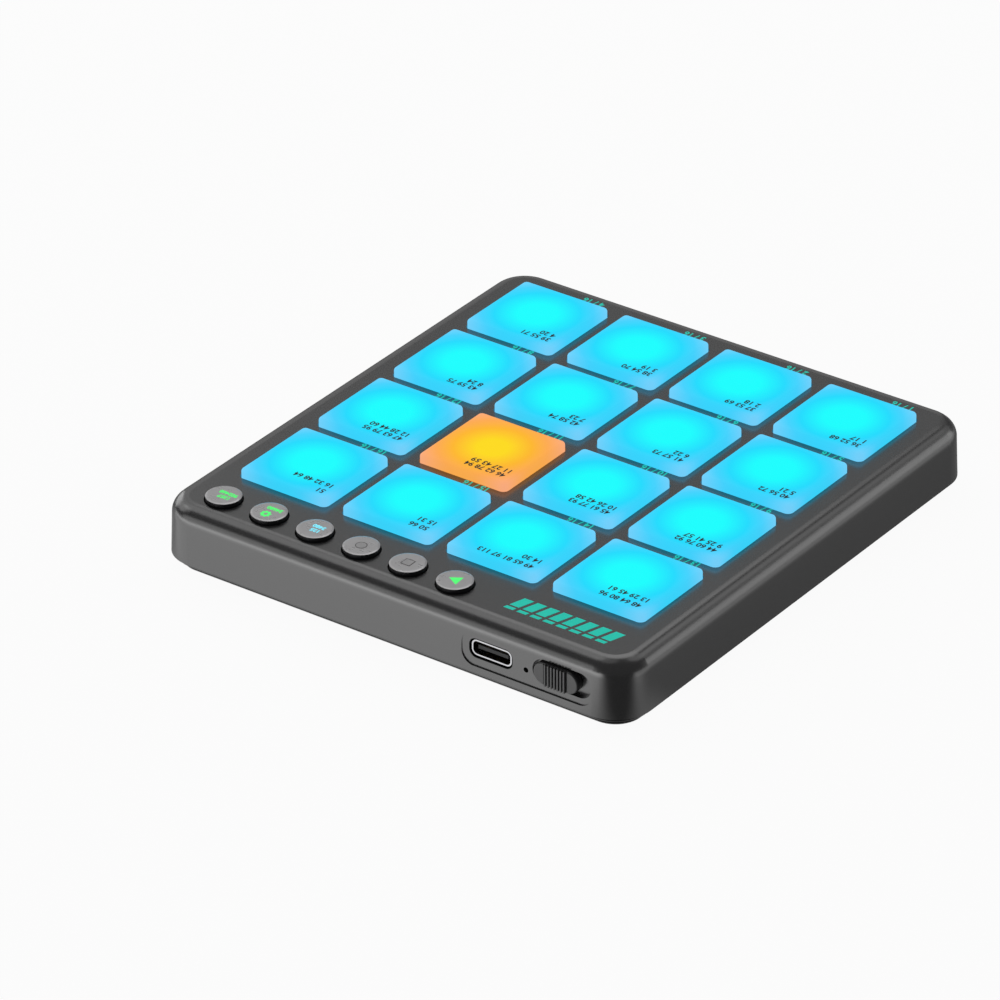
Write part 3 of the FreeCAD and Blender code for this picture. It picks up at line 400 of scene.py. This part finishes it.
@dataclass(frozen=True)
class GlowInk(Finish):
    """Ink or plastic that gives off light of its own colour: a painted glow, with no lamp behind
    it.
    """

    glow: float = 0.5

    def extra(self, graph: Graph, effects: Effects, shader: bpy.types.Node) -> None:
        """Add the painted glow."""
        shader.inputs["Emission Color"].default_value = linear(self.colour)
        shader.inputs["Emission Strength"].default_value = self.glow


@dataclass(frozen=True)
class TurnedMetal(Finish):
    """Metal with fine streaks along one direction.

    Attributes:
        streak: how closely the streaks follow each other along each axis.
        streak_pitch: their width in millimetres.
        streak_depth: how far they change the roughness.
        side: painted shade for the upright faces, darker than the top, where given.
        side_from: upward lean at which the painted shade ends and the top's colour is full.
    """

    streak: Triple = (0.05, 1.0, 1.0)
    streak_pitch: float = 0.25
    streak_depth: float = 0.12
    side: Triple | None = None
    side_from: tuple[float, float] = (0.25, 0.6)

    def tint(self, graph: Graph, effects: Effects) -> bpy.types.NodeSocket:
        """Return the metal's colour, with painted shade on upright faces where a shade colour is
        given.
        """
        face = super().tint(graph, effects)
        if self.side is None:
            return face
        # Painted shade: faces that lean away from the top get a darker colour, picked by their
        # normal.
        upright = graph.add("SeparateXYZ", {"Vector": graph.add("TexCoord").outputs["Normal"]})
        low, high = self.side_from
        flat = graph.add("MapRange", {"Value": upright.outputs["Z"], "From Min": low,
                                      "From Max": high})
        mix = graph.add("Mix", {"0": flat.outputs["Result"], "6": linear(self.side), "7": face},
                        data_type="RGBA")
        return mix.outputs[2]

    def extra(self, graph: Graph, effects: Effects, shader: bpy.types.Node) -> None:
        """Lay the streaks over the roughness."""
        mapping = graph.add("Mapping", {"Vector": graph.place(), "Scale": self.streak})
        cloud = graph.add("TexNoise", {"Vector": mapping.outputs["Vector"],
                                       "Scale": 1.0 / (self.streak_pitch * MM), "Detail": 2.0})
        swing = graph.maths("MULTIPLY", graph.maths("SUBTRACT", cloud.outputs["Fac"], 0.5),
                            self.streak_depth)
        rough = shader.inputs["Roughness"].links[0].from_socket
        graph.tree.links.new(graph.maths("ADD", rough, swing), shader.inputs["Roughness"])


@dataclass(frozen=True)
class BoardLacquer(Finish):
    """Green lacquer over copper tracks."""

    track: Triple = (24, 96, 52)
    pitch: float = 2.4
    track_width: float = 0.05
    field_length: float = 1.7
    field_width: float = 0.6

    def tint(self, graph: Graph, effects: Effects) -> bpy.types.NodeSocket:
        """Return green with lighter tracks."""
        field = linear(self.colour)
        tracks = graph.add("TexBrick", {"Vector": graph.place(), "Scale": 1.0 / (self.pitch * MM),
                                        "Color1": field, "Color2": field,
                                        "Mortar": linear(self.track),
                                        "Mortar Size": self.track_width,
                                        "Brick Width": self.field_length,
                                        "Row Height": self.field_width})
        return tracks.outputs["Color"]


CYAN_LIGHT: tuple[Stop, ...] = (
    (4.0, (20, 255, 255)), (8.5, (30, 220, 255)), (11.0, (68, 212, 255)), (14.0, (120, 212, 255)))
ORANGE_LIGHT: tuple[Stop, ...] = (
    (3.0, (255, 220, 25)), (7.5, (255, 184, 45)), (10.5, (255, 172, 82)), (14.0, (255, 174, 128)))

FINISHES: dict[str, Finish] = {
    Slot.CASE.value: Finish((36, 36, 37), roughness=0.24, spread=0.02, patch=30, drift=0.06,
                            grain_pitch=0.35, grain_depth=0.4, bump=0.0015, ior=2.2),
    Slot.PAD.value: LitRubber((20, 240, 254), roughness=0.5, stops=CYAN_LIGHT),
    Slot.PAD_ORANGE.value: LitRubber((254, 190, 50), roughness=0.5, stops=ORANGE_LIGHT),
    # The buttons' darker upright faces are painted shade.
    Slot.BUTTON.value: TurnedMetal((204, 203, 204), roughness=0.28, spread=0.03, patch=3,
                                   metallic=0.55, streak_depth=0.02, side=(58, 58, 60)),
    Slot.SLIDER.value: Finish((44, 44, 45), roughness=0.36, spread=0.04, patch=2, ior=1.8),
    Slot.SHELL.value: TurnedMetal((205, 205, 208), roughness=0.22, patch=2, metallic=1.0,
                                  streak=(1.0, 0.05, 1.0)),
    Slot.CONNECTOR.value: Finish((60, 60, 62), roughness=0.5, patch=1.5),
    Slot.BOARD.value: BoardLacquer((12, 66, 36), roughness=0.35, patch=6),
    Slot.LED.value: Finish((236, 234, 222), roughness=0.25, patch=2, drift=0.05),
    Slot.WHITE.value: Finish((226, 225, 220), roughness=0.55, patch=9, drift=0.05),
    Slot.FILM.value: Finish((128, 96, 40), roughness=0.22, patch=12, drift=0.12),
    Slot.SWITCH.value: Finish((26, 26, 27), roughness=0.5, patch=2),
    Slot.SWITCH_METAL.value: TurnedMetal((188, 188, 190), roughness=0.3, patch=2, metallic=1.0),
    Slot.CHIP.value: Finish((20, 20, 21), roughness=0.55, patch=2, grain_pitch=0.12),
    Slot.FOIL.value: TurnedMetal((196, 196, 200), roughness=0.28, patch=14, metallic=1.0, bump=0.02,
                                 grain_pitch=4.0),
    Slot.TAPE.value: Finish((222, 214, 186), roughness=0.6, patch=6),
    Slot.LEAD.value: Finish((176, 22, 18), roughness=0.35, patch=3),
    Slot.SCREW.value: TurnedMetal((64, 64, 67), roughness=0.36, patch=1, metallic=1.0),
    Slot.FOOT.value: Finish((24, 24, 24), roughness=0.75, patch=4, grain_pitch=0.2, bump=0.01),
    Ink.LEGEND.value: Finish((3, 14, 20), roughness=0.5, patch=4, drift=0.1),
    # The teal, green and cyan inks on the case and the buttons carry a painted glow.
    Ink.TEAL.value: GlowInk((6, 196, 174), roughness=0.6, patch=4, drift=0.05, glow=0.5),
    Ink.GREEN.value: GlowInk((70, 250, 110), roughness=0.4, patch=2, drift=0.05, glow=0.7),
    Ink.CYAN.value: GlowInk((120, 235, 255), roughness=0.4, patch=2, drift=0.05, glow=0.7),
    Ink.GREY.value: TurnedMetal((188, 187, 188), roughness=0.32, patch=2, metallic=0.55,
                                streak_depth=0.02),
    Ink.DARK.value: Finish((50, 48, 50), roughness=0.4, patch=2, drift=0.05),
    Ink.GOLD.value: TurnedMetal((214, 170, 88), roughness=0.25, patch=1, metallic=1.0),
}


class Paintshop:
    """Builds each finish once and puts it on solids and pieces."""

    def __init__(self) -> None:
        """Build the shared effects and the materials."""
        self.effects = Effects()
        self.materials = {name: finish.build(name, self.effects)
                          for name, finish in FINISHES.items()}

    def coat(self, item: bpy.types.Object, name: str) -> None:
        """Give every face of a piece one finish."""
        item.data.materials.clear()
        item.data.materials.append(self.materials[name])
        for face in item.data.polygons:
            face.material_index = 0

    def dress_frame(self, frame: dict[str, Any]) -> None:
        """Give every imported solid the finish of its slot."""
        for row in frame["record"]["subparts"]:
            self.coat(frame["nodes"][row["node"]], row["material_slot"])
            LOG.info("dressed %s in %s", row["node"], row["material_slot"])


class Sheet:
    """Flat faces gathered for one thin printed or plated piece."""

    def __init__(self) -> None:
        """Start with no faces."""
        self.mesh = bmesh.new()

    def outline(self, points: Sequence[Point], level: float, thick: float = PROUD) -> None:
        """Add a flat shape with a thickness.

        Args:
            points: the outline in millimetres, counter-clockwise seen from above.
            level: height of its underside.
            thick: its thickness.
        """
        low = [self.mesh.verts.new(Vector((x, y, level)) * MM) for x, y in points]
        high = [self.mesh.verts.new(Vector((x, y, level + thick)) * MM) for x, y in points]
        self.mesh.faces.new(high)
        self.mesh.faces.new(list(reversed(low)))
        for index in range(len(points)):
            after = (index + 1) % len(points)
            self.mesh.faces.new((low[index], low[after], high[after], high[index]))

    def ring(self, centre: Point, outer: float, inner: float, level: float,
             sides: int = 48) -> None:
        """Add a flat ring, or a disc where the inner radius is 0."""
        turn = [2 * math.pi * index / sides for index in range(sides)]
        rims = [[(centre[0] + r * math.cos(a), centre[1] + r * math.sin(a)) for a in turn]
                for r in (outer, inner) if r]
        if len(rims) == 1:
            self.outline(rims[0], level)
        else:
            self.band(rims[0], rims[1], level)

    def band(self, outer: Sequence[Point], inner: Sequence[Point], level: float) -> None:
        """Add the flat band between two outlines that have as many points each."""
        for index in range(len(outer)):
            after = (index + 1) % len(outer)
            self.outline([outer[index], outer[after], inner[after], inner[index]], level)

    def digits(self, text: str, left: float, base: float, height: float, level: float,
               bold: float = 0.022) -> None:
        """Add numerals.

        Args:
            text: what to print.
            left: where the line starts, in millimetres.
            base: the line's foot.
            height: height of a numeral.
            level: height of the surface that carries them.
            bold: how far the strokes are thickened, as a share of the font's size.
        """
        curve = bpy.data.curves.new("numerals", "FONT")
        curve.body = text
        curve.resolution_u = FONT_STEPS
        curve.offset = bold
        curve.extrude = FONT_HALF
        item = bpy.data.objects.new("numerals", curve)
        bpy.context.scene.collection.objects.link(item)
        bpy.context.view_layer.update()
        mesh = bpy.data.meshes.new_from_object(item)
        tall = max(v.co.y for v in mesh.vertices)
        start = min(v.co.x for v in mesh.vertices)
        scale = height / tall
        for vertex in mesh.vertices:
            x, y, z = vertex.co
            vertex.co = Vector((left + (x - start) * scale, base + y * scale,
                                level + (z + FONT_HALF) * PROUD)) * MM
        self.mesh.from_mesh(mesh)
        bpy.data.objects.remove(item)
        bpy.data.curves.remove(curve)
        bpy.data.meshes.remove(mesh)

    def piece(self, name: str, body: str, finish: str,
              shop: Paintshop) -> bpy.types.Object:
        """Turn the faces into a piece that rides on a body."""
        mesh = bpy.data.meshes.new(name)
        self.mesh.to_mesh(mesh)
        self.mesh.free()
        item = bpy.data.objects.new(name, mesh)
        bpy.context.scene.collection.objects.link(item)
        shop.coat(item, finish)
        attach(item, body)
        LOG.info("added %s on %s", name, body)
        return item


@dataclass
class PadGrid:
    """Sixteen pads in four rows, with numerals on them and beside them."""

    count: int = 4
    pitch: float = 24.0
    row_shift: float = -4.3
    top: float = 16.0
    cover: float = 14.3
    legend_left: float = -8.25
    legend_height: float = 1.37
    upper: tuple[int, ...] = (3, 3, 3, 3, 3, 3, 3, 3, 4, 4, 4, 4, 4, 5, 2, 1)
    lower: tuple[int, ...] = (2, 2, 2, 2, 2, 2, 2, 2, 4, 4, 4, 4, 4, 2, 2, 4)
    feet: tuple[float, float] = (6.86, 5.0)
    rear_feet: tuple[float, float] = (7.14, 4.8)
    firsts: tuple[int, int] = (36, 1)
    step: int = 16
    label_left: float = -6.9
    label_foot: float = -13.5
    label_height: float = 1.5

    def middle(self, index: int) -> Point:
        """Return the middle of a pad, counted from 0 at the player's near left."""
        row, column = divmod(index, self.count)
        half = (self.count - 1) / 2
        return (column - half) * self.pitch, (row - half) * self.pitch + self.row_shift

    def build(self, shop: Paintshop) -> None:
        """Print the numerals on the pads and on the cover."""
        labels = Sheet()
        for index in range(self.count ** 2):
            x, y = self.middle(index)
            rear = index >= self.count * (self.count - 1)
            feet = self.rear_feet if rear else self.feet
            legend = Sheet()
            for foot, first, groups in zip(feet, self.firsts,
                                           (self.upper[index], self.lower[index])):
                numbers = [str(first + index + self.step * turn) for turn in range(groups)]
                legend.digits(" ".join(numbers), x + self.legend_left, y + foot, self.legend_height,
                              self.top)
            legend.piece(f"legend_{index + 1:02d}", f"pad_body_{index + 1:02d}",
                         Ink.LEGEND.value, shop)
            labels.digits(f"{index + 1} / 16", x + self.label_left, y + self.label_foot,
                          self.label_height, self.cover)
        labels.piece("cover_numbers", "case", Ink.TEAL.value, shop)


@dataclass
class ButtonRow:
    """Six round buttons, each with its own mark."""

    first: float = -10.4
    pitch: float = 10.72
    row: float = 50.25
    top: float = 15.25
    numeral: float = 1.0
    bold: float = 0.035

    def middle(self, index: int) -> Point:
        """Return the middle of a button, counted from 0 at the player's left."""
        return self.first + index * self.pitch, self.row

    def _mark(self, index: int, name: str, shapes: Sequence[Sequence[Point]], ink: Ink,
              shop: Paintshop, rings: Sequence[tuple[Point, float, float]] = (), lift: float = 0.0,
              lines: Sequence[tuple[str, float, float]] = ()) -> None:
        """Print one mark about a button's middle.

        Args:
            index: the button, counted from 0 at the player's left.
            name: the piece's name, to which the button's number is added.
            shapes: outlines round the middle.
            ink: what it is printed in.
            shop: the finishes.
            rings: centre, outer and inner radius of each ring, where 0 gives a disc.
            lift: how far above the button's top it lies.
            lines: text of plain numerals, left end and foot of each line.
        """
        x, y = self.middle(index)
        sheet = Sheet()
        for shape in shapes:
            sheet.outline([(x + dx, y + dy) for dx, dy in shape], self.top + lift)
        for (dx, dy), outer, inner in rings:
            sheet.ring((x + dx, y + dy), outer, inner, self.top + lift)
        for text, left, foot in lines:
            sheet.digits(text, x + left, y + foot, self.numeral, self.top + lift, self.bold)
        self._lay(sheet, index, name, ink, shop)

    @staticmethod
    def _lay(sheet: Sheet, index: int, name: str, ink: Ink, shop: Paintshop) -> None:
        """Make a mark's faces a piece of its button."""
        sheet.piece(f"{name}_{index + 1}", f"button_body_{index + 1}",
                    ink.value, shop)

    @staticmethod
    def square(half: float) -> list[Point]:
        """Return the outline of a square about the middle."""
        return [(-half, -half), (half, -half), (half, half), (-half, half)]

    def _cog(self, index: int, rise: float, outer: float, inner: float, hole: float, teeth: int,
             shop: Paintshop) -> None:
        """Print a toothed ring.

        Args:
            index: the button, counted from 0 at the player's left.
            rise: how far the ring's middle is behind the button's.
            outer: radius over the teeth.
            inner: radius between the teeth.
            hole: radius of the open middle.
            teeth: how many teeth.
            shop: the finishes.
        """
        x, y = self.middle(index)
        steps = teeth * 4
        turn = [2 * math.pi * (step + 0.5) / steps for step in range(steps)]
        toothed = [outer if step % 4 in (1, 2) else inner for step in range(steps)]
        rims = [[(x + radius * math.cos(angle), y + rise + radius * math.sin(angle))
                 for radius, angle in zip(radii, turn)]
                for radii in (toothed, [hole] * steps)]
        sheet = Sheet()
        sheet.band(rims[0], rims[1], self.top)
        self._lay(sheet, index, "mark_cog", Ink.GREEN, shop)

    def build(self, shop: Paintshop) -> None:
        """Print the marks."""
        self._mark(0, "mark_play", [[(-0.9, -1.4), (1.3, 0.0), (-1.1, 1.35)]], Ink.GREEN, shop)
        self._mark(1, "mark_stop_rim", [self.square(1.05)], Ink.DARK, shop)
        self._mark(1, "mark_stop", [self.square(0.9)], Ink.GREY, shop, lift=0.01)
        self._mark(2, "mark_disc_rim", [], Ink.DARK, shop, rings=[((0.0, 0.0), 1.15, 1.0)])
        self._mark(2, "mark_disc", [], Ink.GREY, shop, rings=[((0.0, 0.0), 1.0, 0.0)])
        self._mark(3, "mark_numbers", [], Ink.CYAN, shop,
                   lines=[("125", -1.3, 0.2), ("3480", -1.75, -1.25)])
        self._mark(4, "mark_numbers", [], Ink.GREEN, shop, lines=[("24680", -2.15, -1.65)])
        self._cog(4, 1.05, 1.1, 0.85, 0.42, 8, shop)
        self._mark(5, "mark_numbers", [], Ink.GREEN, shop,
                   lines=[("1357", -1.75, 0.2), ("902468", -2.6, -1.25)])


@dataclass
class CoverMark:
    """A row of slanted bars on the cover, beside the buttons."""

    left: float = -46.2
    foot: float = 47.0
    height: float = 4.7
    split: float = 3.35
    split_gap: float = 0.5
    pitch: float = 2.9
    width: float = 2.1
    count: int = 8
    lean: float = 0.32
    cover: float = 14.3

    def build(self, shop: Paintshop) -> None:
        """Print the bars."""
        sheet = Sheet()
        for index in range(self.count):
            x = self.left + index * self.pitch
            for low, high in ((0.0, self.split), (self.split + self.split_gap, self.height)):
                foot, head = x + self.lean * low, x + self.lean * high
                sheet.outline([(foot, self.foot + low), (foot + self.width, self.foot + low),
                               (head + self.width, self.foot + high), (head, self.foot + high)],
                              self.cover)
        sheet.piece("cover_bars", "case", Ink.TEAL.value, shop)


@dataclass
class Socket:
    """Plated contacts on both faces of the socket's tongue."""

    middle: float = -23.8
    level: float = 7.78
    front: float = 56.55
    length: float = 4.4
    half_thick: float = 0.36
    pitch: float = 0.5
    width: float = 0.26
    count: int = 12

    def build(self, shop: Paintshop) -> None:
        """Lay the contacts."""
        sheet = Sheet()
        for level in (self.level + self.half_thick, self.level - self.half_thick - PROUD):
            for index in range(self.count):
                left = self.middle + (index - (self.count - 1) / 2) * self.pitch - self.width / 2
                right, rear = left + self.width, self.front - self.length
                sheet.outline([(left, rear), (right, rear), (right, self.front),
                               (left, self.front)], level)
        sheet.piece("socket_contacts", "case", Ink.GOLD.value, shop)


@dataclass(frozen=True)
class Lamp:
    """A flat soft lamp that looks at the object, placed by its bearing and height in degrees."""

    name: str
    bearing: float
    height: float
    radiance: float
    distance: float = 2.0
    size: float = 1.2

    def build(self) -> bpy.types.Object:
        """Hang the lamp and return it."""
        data = bpy.data.lights.new(self.name, "AREA")
        data.shape = "DISK"
        data.size = self.size
        data.energy = self.radiance * math.pi * math.pi * (self.size / 2) ** 2
        item = bpy.data.objects.new(self.name, data)
        bpy.context.scene.collection.objects.link(item)
        bearing, height = math.radians(self.bearing), math.radians(self.height)
        away = Vector((math.cos(height) * math.cos(bearing), math.cos(height) * math.sin(bearing),
                       math.sin(height)))
        item.location = away * self.distance
        item.rotation_euler = away.to_track_quat("Z", "Y").to_euler()
        return item


@dataclass
class Studio:
    """Pale floor, lamps, a dim room and the camera.

    Places and sizes are in metres, and the camera's lens and sensor in millimetres.

    Attributes:
        floor_share: how far the floor shows plain white instead of its lit self.
        pool_rear, pool_side: where the painted pool of light on the floor behind the rear wall
            begins.
        rear_far, rear_light: where it changes from its near to its far brightness.
        left_fade, left_far, left_light: the same for the floor beside the player's left wall.
        left_strip, strip_light: extra brightness near the left wall's rear end.
        pool_least: brightness of the rest. All of these are painted light on the floor that shows
            in reflections only, and they paint the case's reflections.
        room_light, room_share: the room's light, and its brightness where it is seen directly.
        right, down, ahead: the camera's axes.
    """

    floor_size: float = 6.0
    floor_share: float = 0.95
    floor_colour: float = 0.9
    pool_rear: tuple[float, float] = (0.052, 0.062)
    pool_side: tuple[float, float] = (-0.056, -0.038)
    rear_far: tuple[float, float] = (0.080, 0.100)
    rear_light: tuple[float, float] = (0.97, 1.90)
    left_fade: tuple[float, float] = (0.060, 0.050)
    left_far: tuple[float, float] = (-0.068, -0.085)
    left_light: tuple[float, float] = (0.14, 0.62)
    left_strip: tuple[float, float] = (0.036, 0.050)
    strip_light: float = 0.24
    pool_least: float = 0.09
    room_light: float = 0.12
    room_share: float = 0.95
    lens: float = 239.86
    sensor: float = 36.0
    near: float = 0.05
    far: float = 20.0
    place: Triple = (-0.63414, 0.89141, 0.63684)
    right: Triple = (-0.80985889, -0.58659766, -0.00563582)
    down: Triple = (-0.28946218, 0.40795184, -0.86590239)
    ahead: Triple = (0.51023545, -0.69962739, -0.50018126)
    lamps: tuple[Lamp, ...] = (
        Lamp("key", 10, 32, 0.80),
        Lamp("key_low", 342, 9, 1.56),
        Lamp("key_high", 0, 55, 0.73),
        Lamp("front_key", 330, 32, 0.48),
        Lamp("front_high", 300, 55, 1.00),
        Lamp("front_low", 306, 9, 0.32),
        Lamp("front", 290, 32, 0.12),
        Lamp("front_side", 250, 32, 0.32),
        Lamp("front_edge", 234, 9, 1.10),
        Lamp("side_high", 240, 55, 0.45),
        Lamp("rear_low", 54, 9, 0.73),
        Lamp("overhead", 30, 78, 0.24),
    )

    def build(self) -> None:
        """Set up everything around the object."""
        self._floor()
        self._room()
        for lamp in self.lamps:
            lamp.build()
        self._camera()

    @staticmethod
    def _direct(rays: bpy.types.Node, graph: Graph) -> bpy.types.NodeSocket:
        """Return 1 for rays that show the backdrop itself, else 0."""
        return graph.maths("MAXIMUM", rays.outputs["Is Camera Ray"],
                           rays.outputs["Is Transmission Ray"])

    def _mirrored(self, graph: Graph) -> bpy.types.NodeSocket:
        """Return the painted light laid in pools on the floor, seen in reflections only, by the
        place on it.
        """
        axes = graph.add("SeparateXYZ", {"Vector": graph.place()})
        across, along = axes.outputs["X"], axes.outputs["Y"]
        behind = graph.maths("MULTIPLY", graph.ease(along, self.pool_rear),
                             graph.ease(across, self.pool_side))
        behind = graph.maths("MULTIPLY", behind, graph.ease(along, self.rear_far, self.rear_light))
        strip = graph.maths("MULTIPLY", graph.ease(along, self.left_strip), self.strip_light)
        beside = graph.maths("ADD", graph.ease(across, self.left_far, self.left_light), strip)
        beside = graph.maths("MULTIPLY", graph.ease(along, self.left_fade), beside)
        return graph.maths("ADD", graph.maths("ADD", behind, beside), self.pool_least)

    def _floor(self) -> None:
        """Lay the floor."""
        half = self.floor_size / 2
        mesh = bpy.data.meshes.new("floor")
        corners = [(-half, -half, 0), (half, -half, 0), (half, half, 0), (-half, half, 0)]
        mesh.from_pydata(corners, [], [(0, 1, 2, 3)])
        floor = bpy.data.objects.new("floor", mesh)
        bpy.context.scene.collection.objects.link(floor)
        material = bpy.data.materials.new("floor")
        material.use_nodes = True
        graph = Graph(material.node_tree)
        shader = material.node_tree.nodes["Principled BSDF"]
        shader.inputs["Base Color"].default_value = (*[self.floor_colour] * 3, 1.0)
        shader.inputs["Roughness"].default_value = 1.0
        shader.inputs["Specular IOR Level"].default_value = 0.0
        rays = graph.add("LightPath")
        direct = self._direct(rays, graph)
        glossy = rays.outputs["Is Glossy Ray"]
        # Painted reflections: reflected rays see the floor glow in pools set by place, not light
        # from the lamps.
        painted_pools = graph.maths("MULTIPLY", glossy, self._mirrored(graph))
        share = graph.maths("MAXIMUM", graph.maths("MULTIPLY", direct, self.floor_share), glossy)
        white = graph.add("Emission", {"Color": (1.0, 1.0, 1.0, 1.0),
                                       "Strength": graph.maths("MAXIMUM", direct, painted_pools)})
        mix = graph.add("MixShader", {"0": share})
        links = material.node_tree.links
        links.new(shader.outputs[0], mix.inputs[1])
        links.new(white.outputs[0], mix.inputs[2])
        links.new(mix.outputs[0], material.node_tree.nodes["Material Output"].inputs["Surface"])
        mesh.materials.append(material)

    def _room(self) -> None:
        """Light the room evenly and dimly, behind a pale backdrop."""
        world = bpy.data.worlds.new("room")
        bpy.context.scene.world = world
        world.use_nodes = True
        graph = Graph(world.node_tree)
        rays = graph.add("LightPath")
        shown = graph.maths("MULTIPLY", self._direct(rays, graph), self.room_share)
        strength = graph.maths("MAXIMUM", shown, self.room_light)
        background = world.node_tree.nodes["Background"]
        background.inputs["Color"].default_value = (1.0, 1.0, 1.0, 1.0)
        world.node_tree.links.new(strength, background.inputs["Strength"])

    def _camera(self) -> None:
        """Stand the camera at the photograph's place."""
        data = bpy.data.cameras.new("camera")
        data.sensor_width = self.sensor
        data.lens = self.lens
        data.clip_start = self.near
        data.clip_end = self.far
        item = bpy.data.objects.new("camera", data)
        bpy.context.scene.collection.objects.link(item)
        axes = Matrix((Vector(self.right), -Vector(self.down), -Vector(self.ahead))).transposed()
        item.matrix_world = Matrix.Translation(self.place) @ axes.to_4x4()
        bpy.context.scene.camera = item


def main() -> None:
    """Build the dressed object and the studio round it."""
    logging.basicConfig(level=logging.INFO, format="%(message)s")
    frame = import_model()
    bpy.context.scene.view_settings.view_transform = "Standard"
    shop = Paintshop()
    shop.dress_frame(frame)
    for assembly in (PadGrid(), ButtonRow(), CoverMark(), Socket()):
        assembly.build(shop)
    Studio().build()


if __name__ == "__main__":
    main()
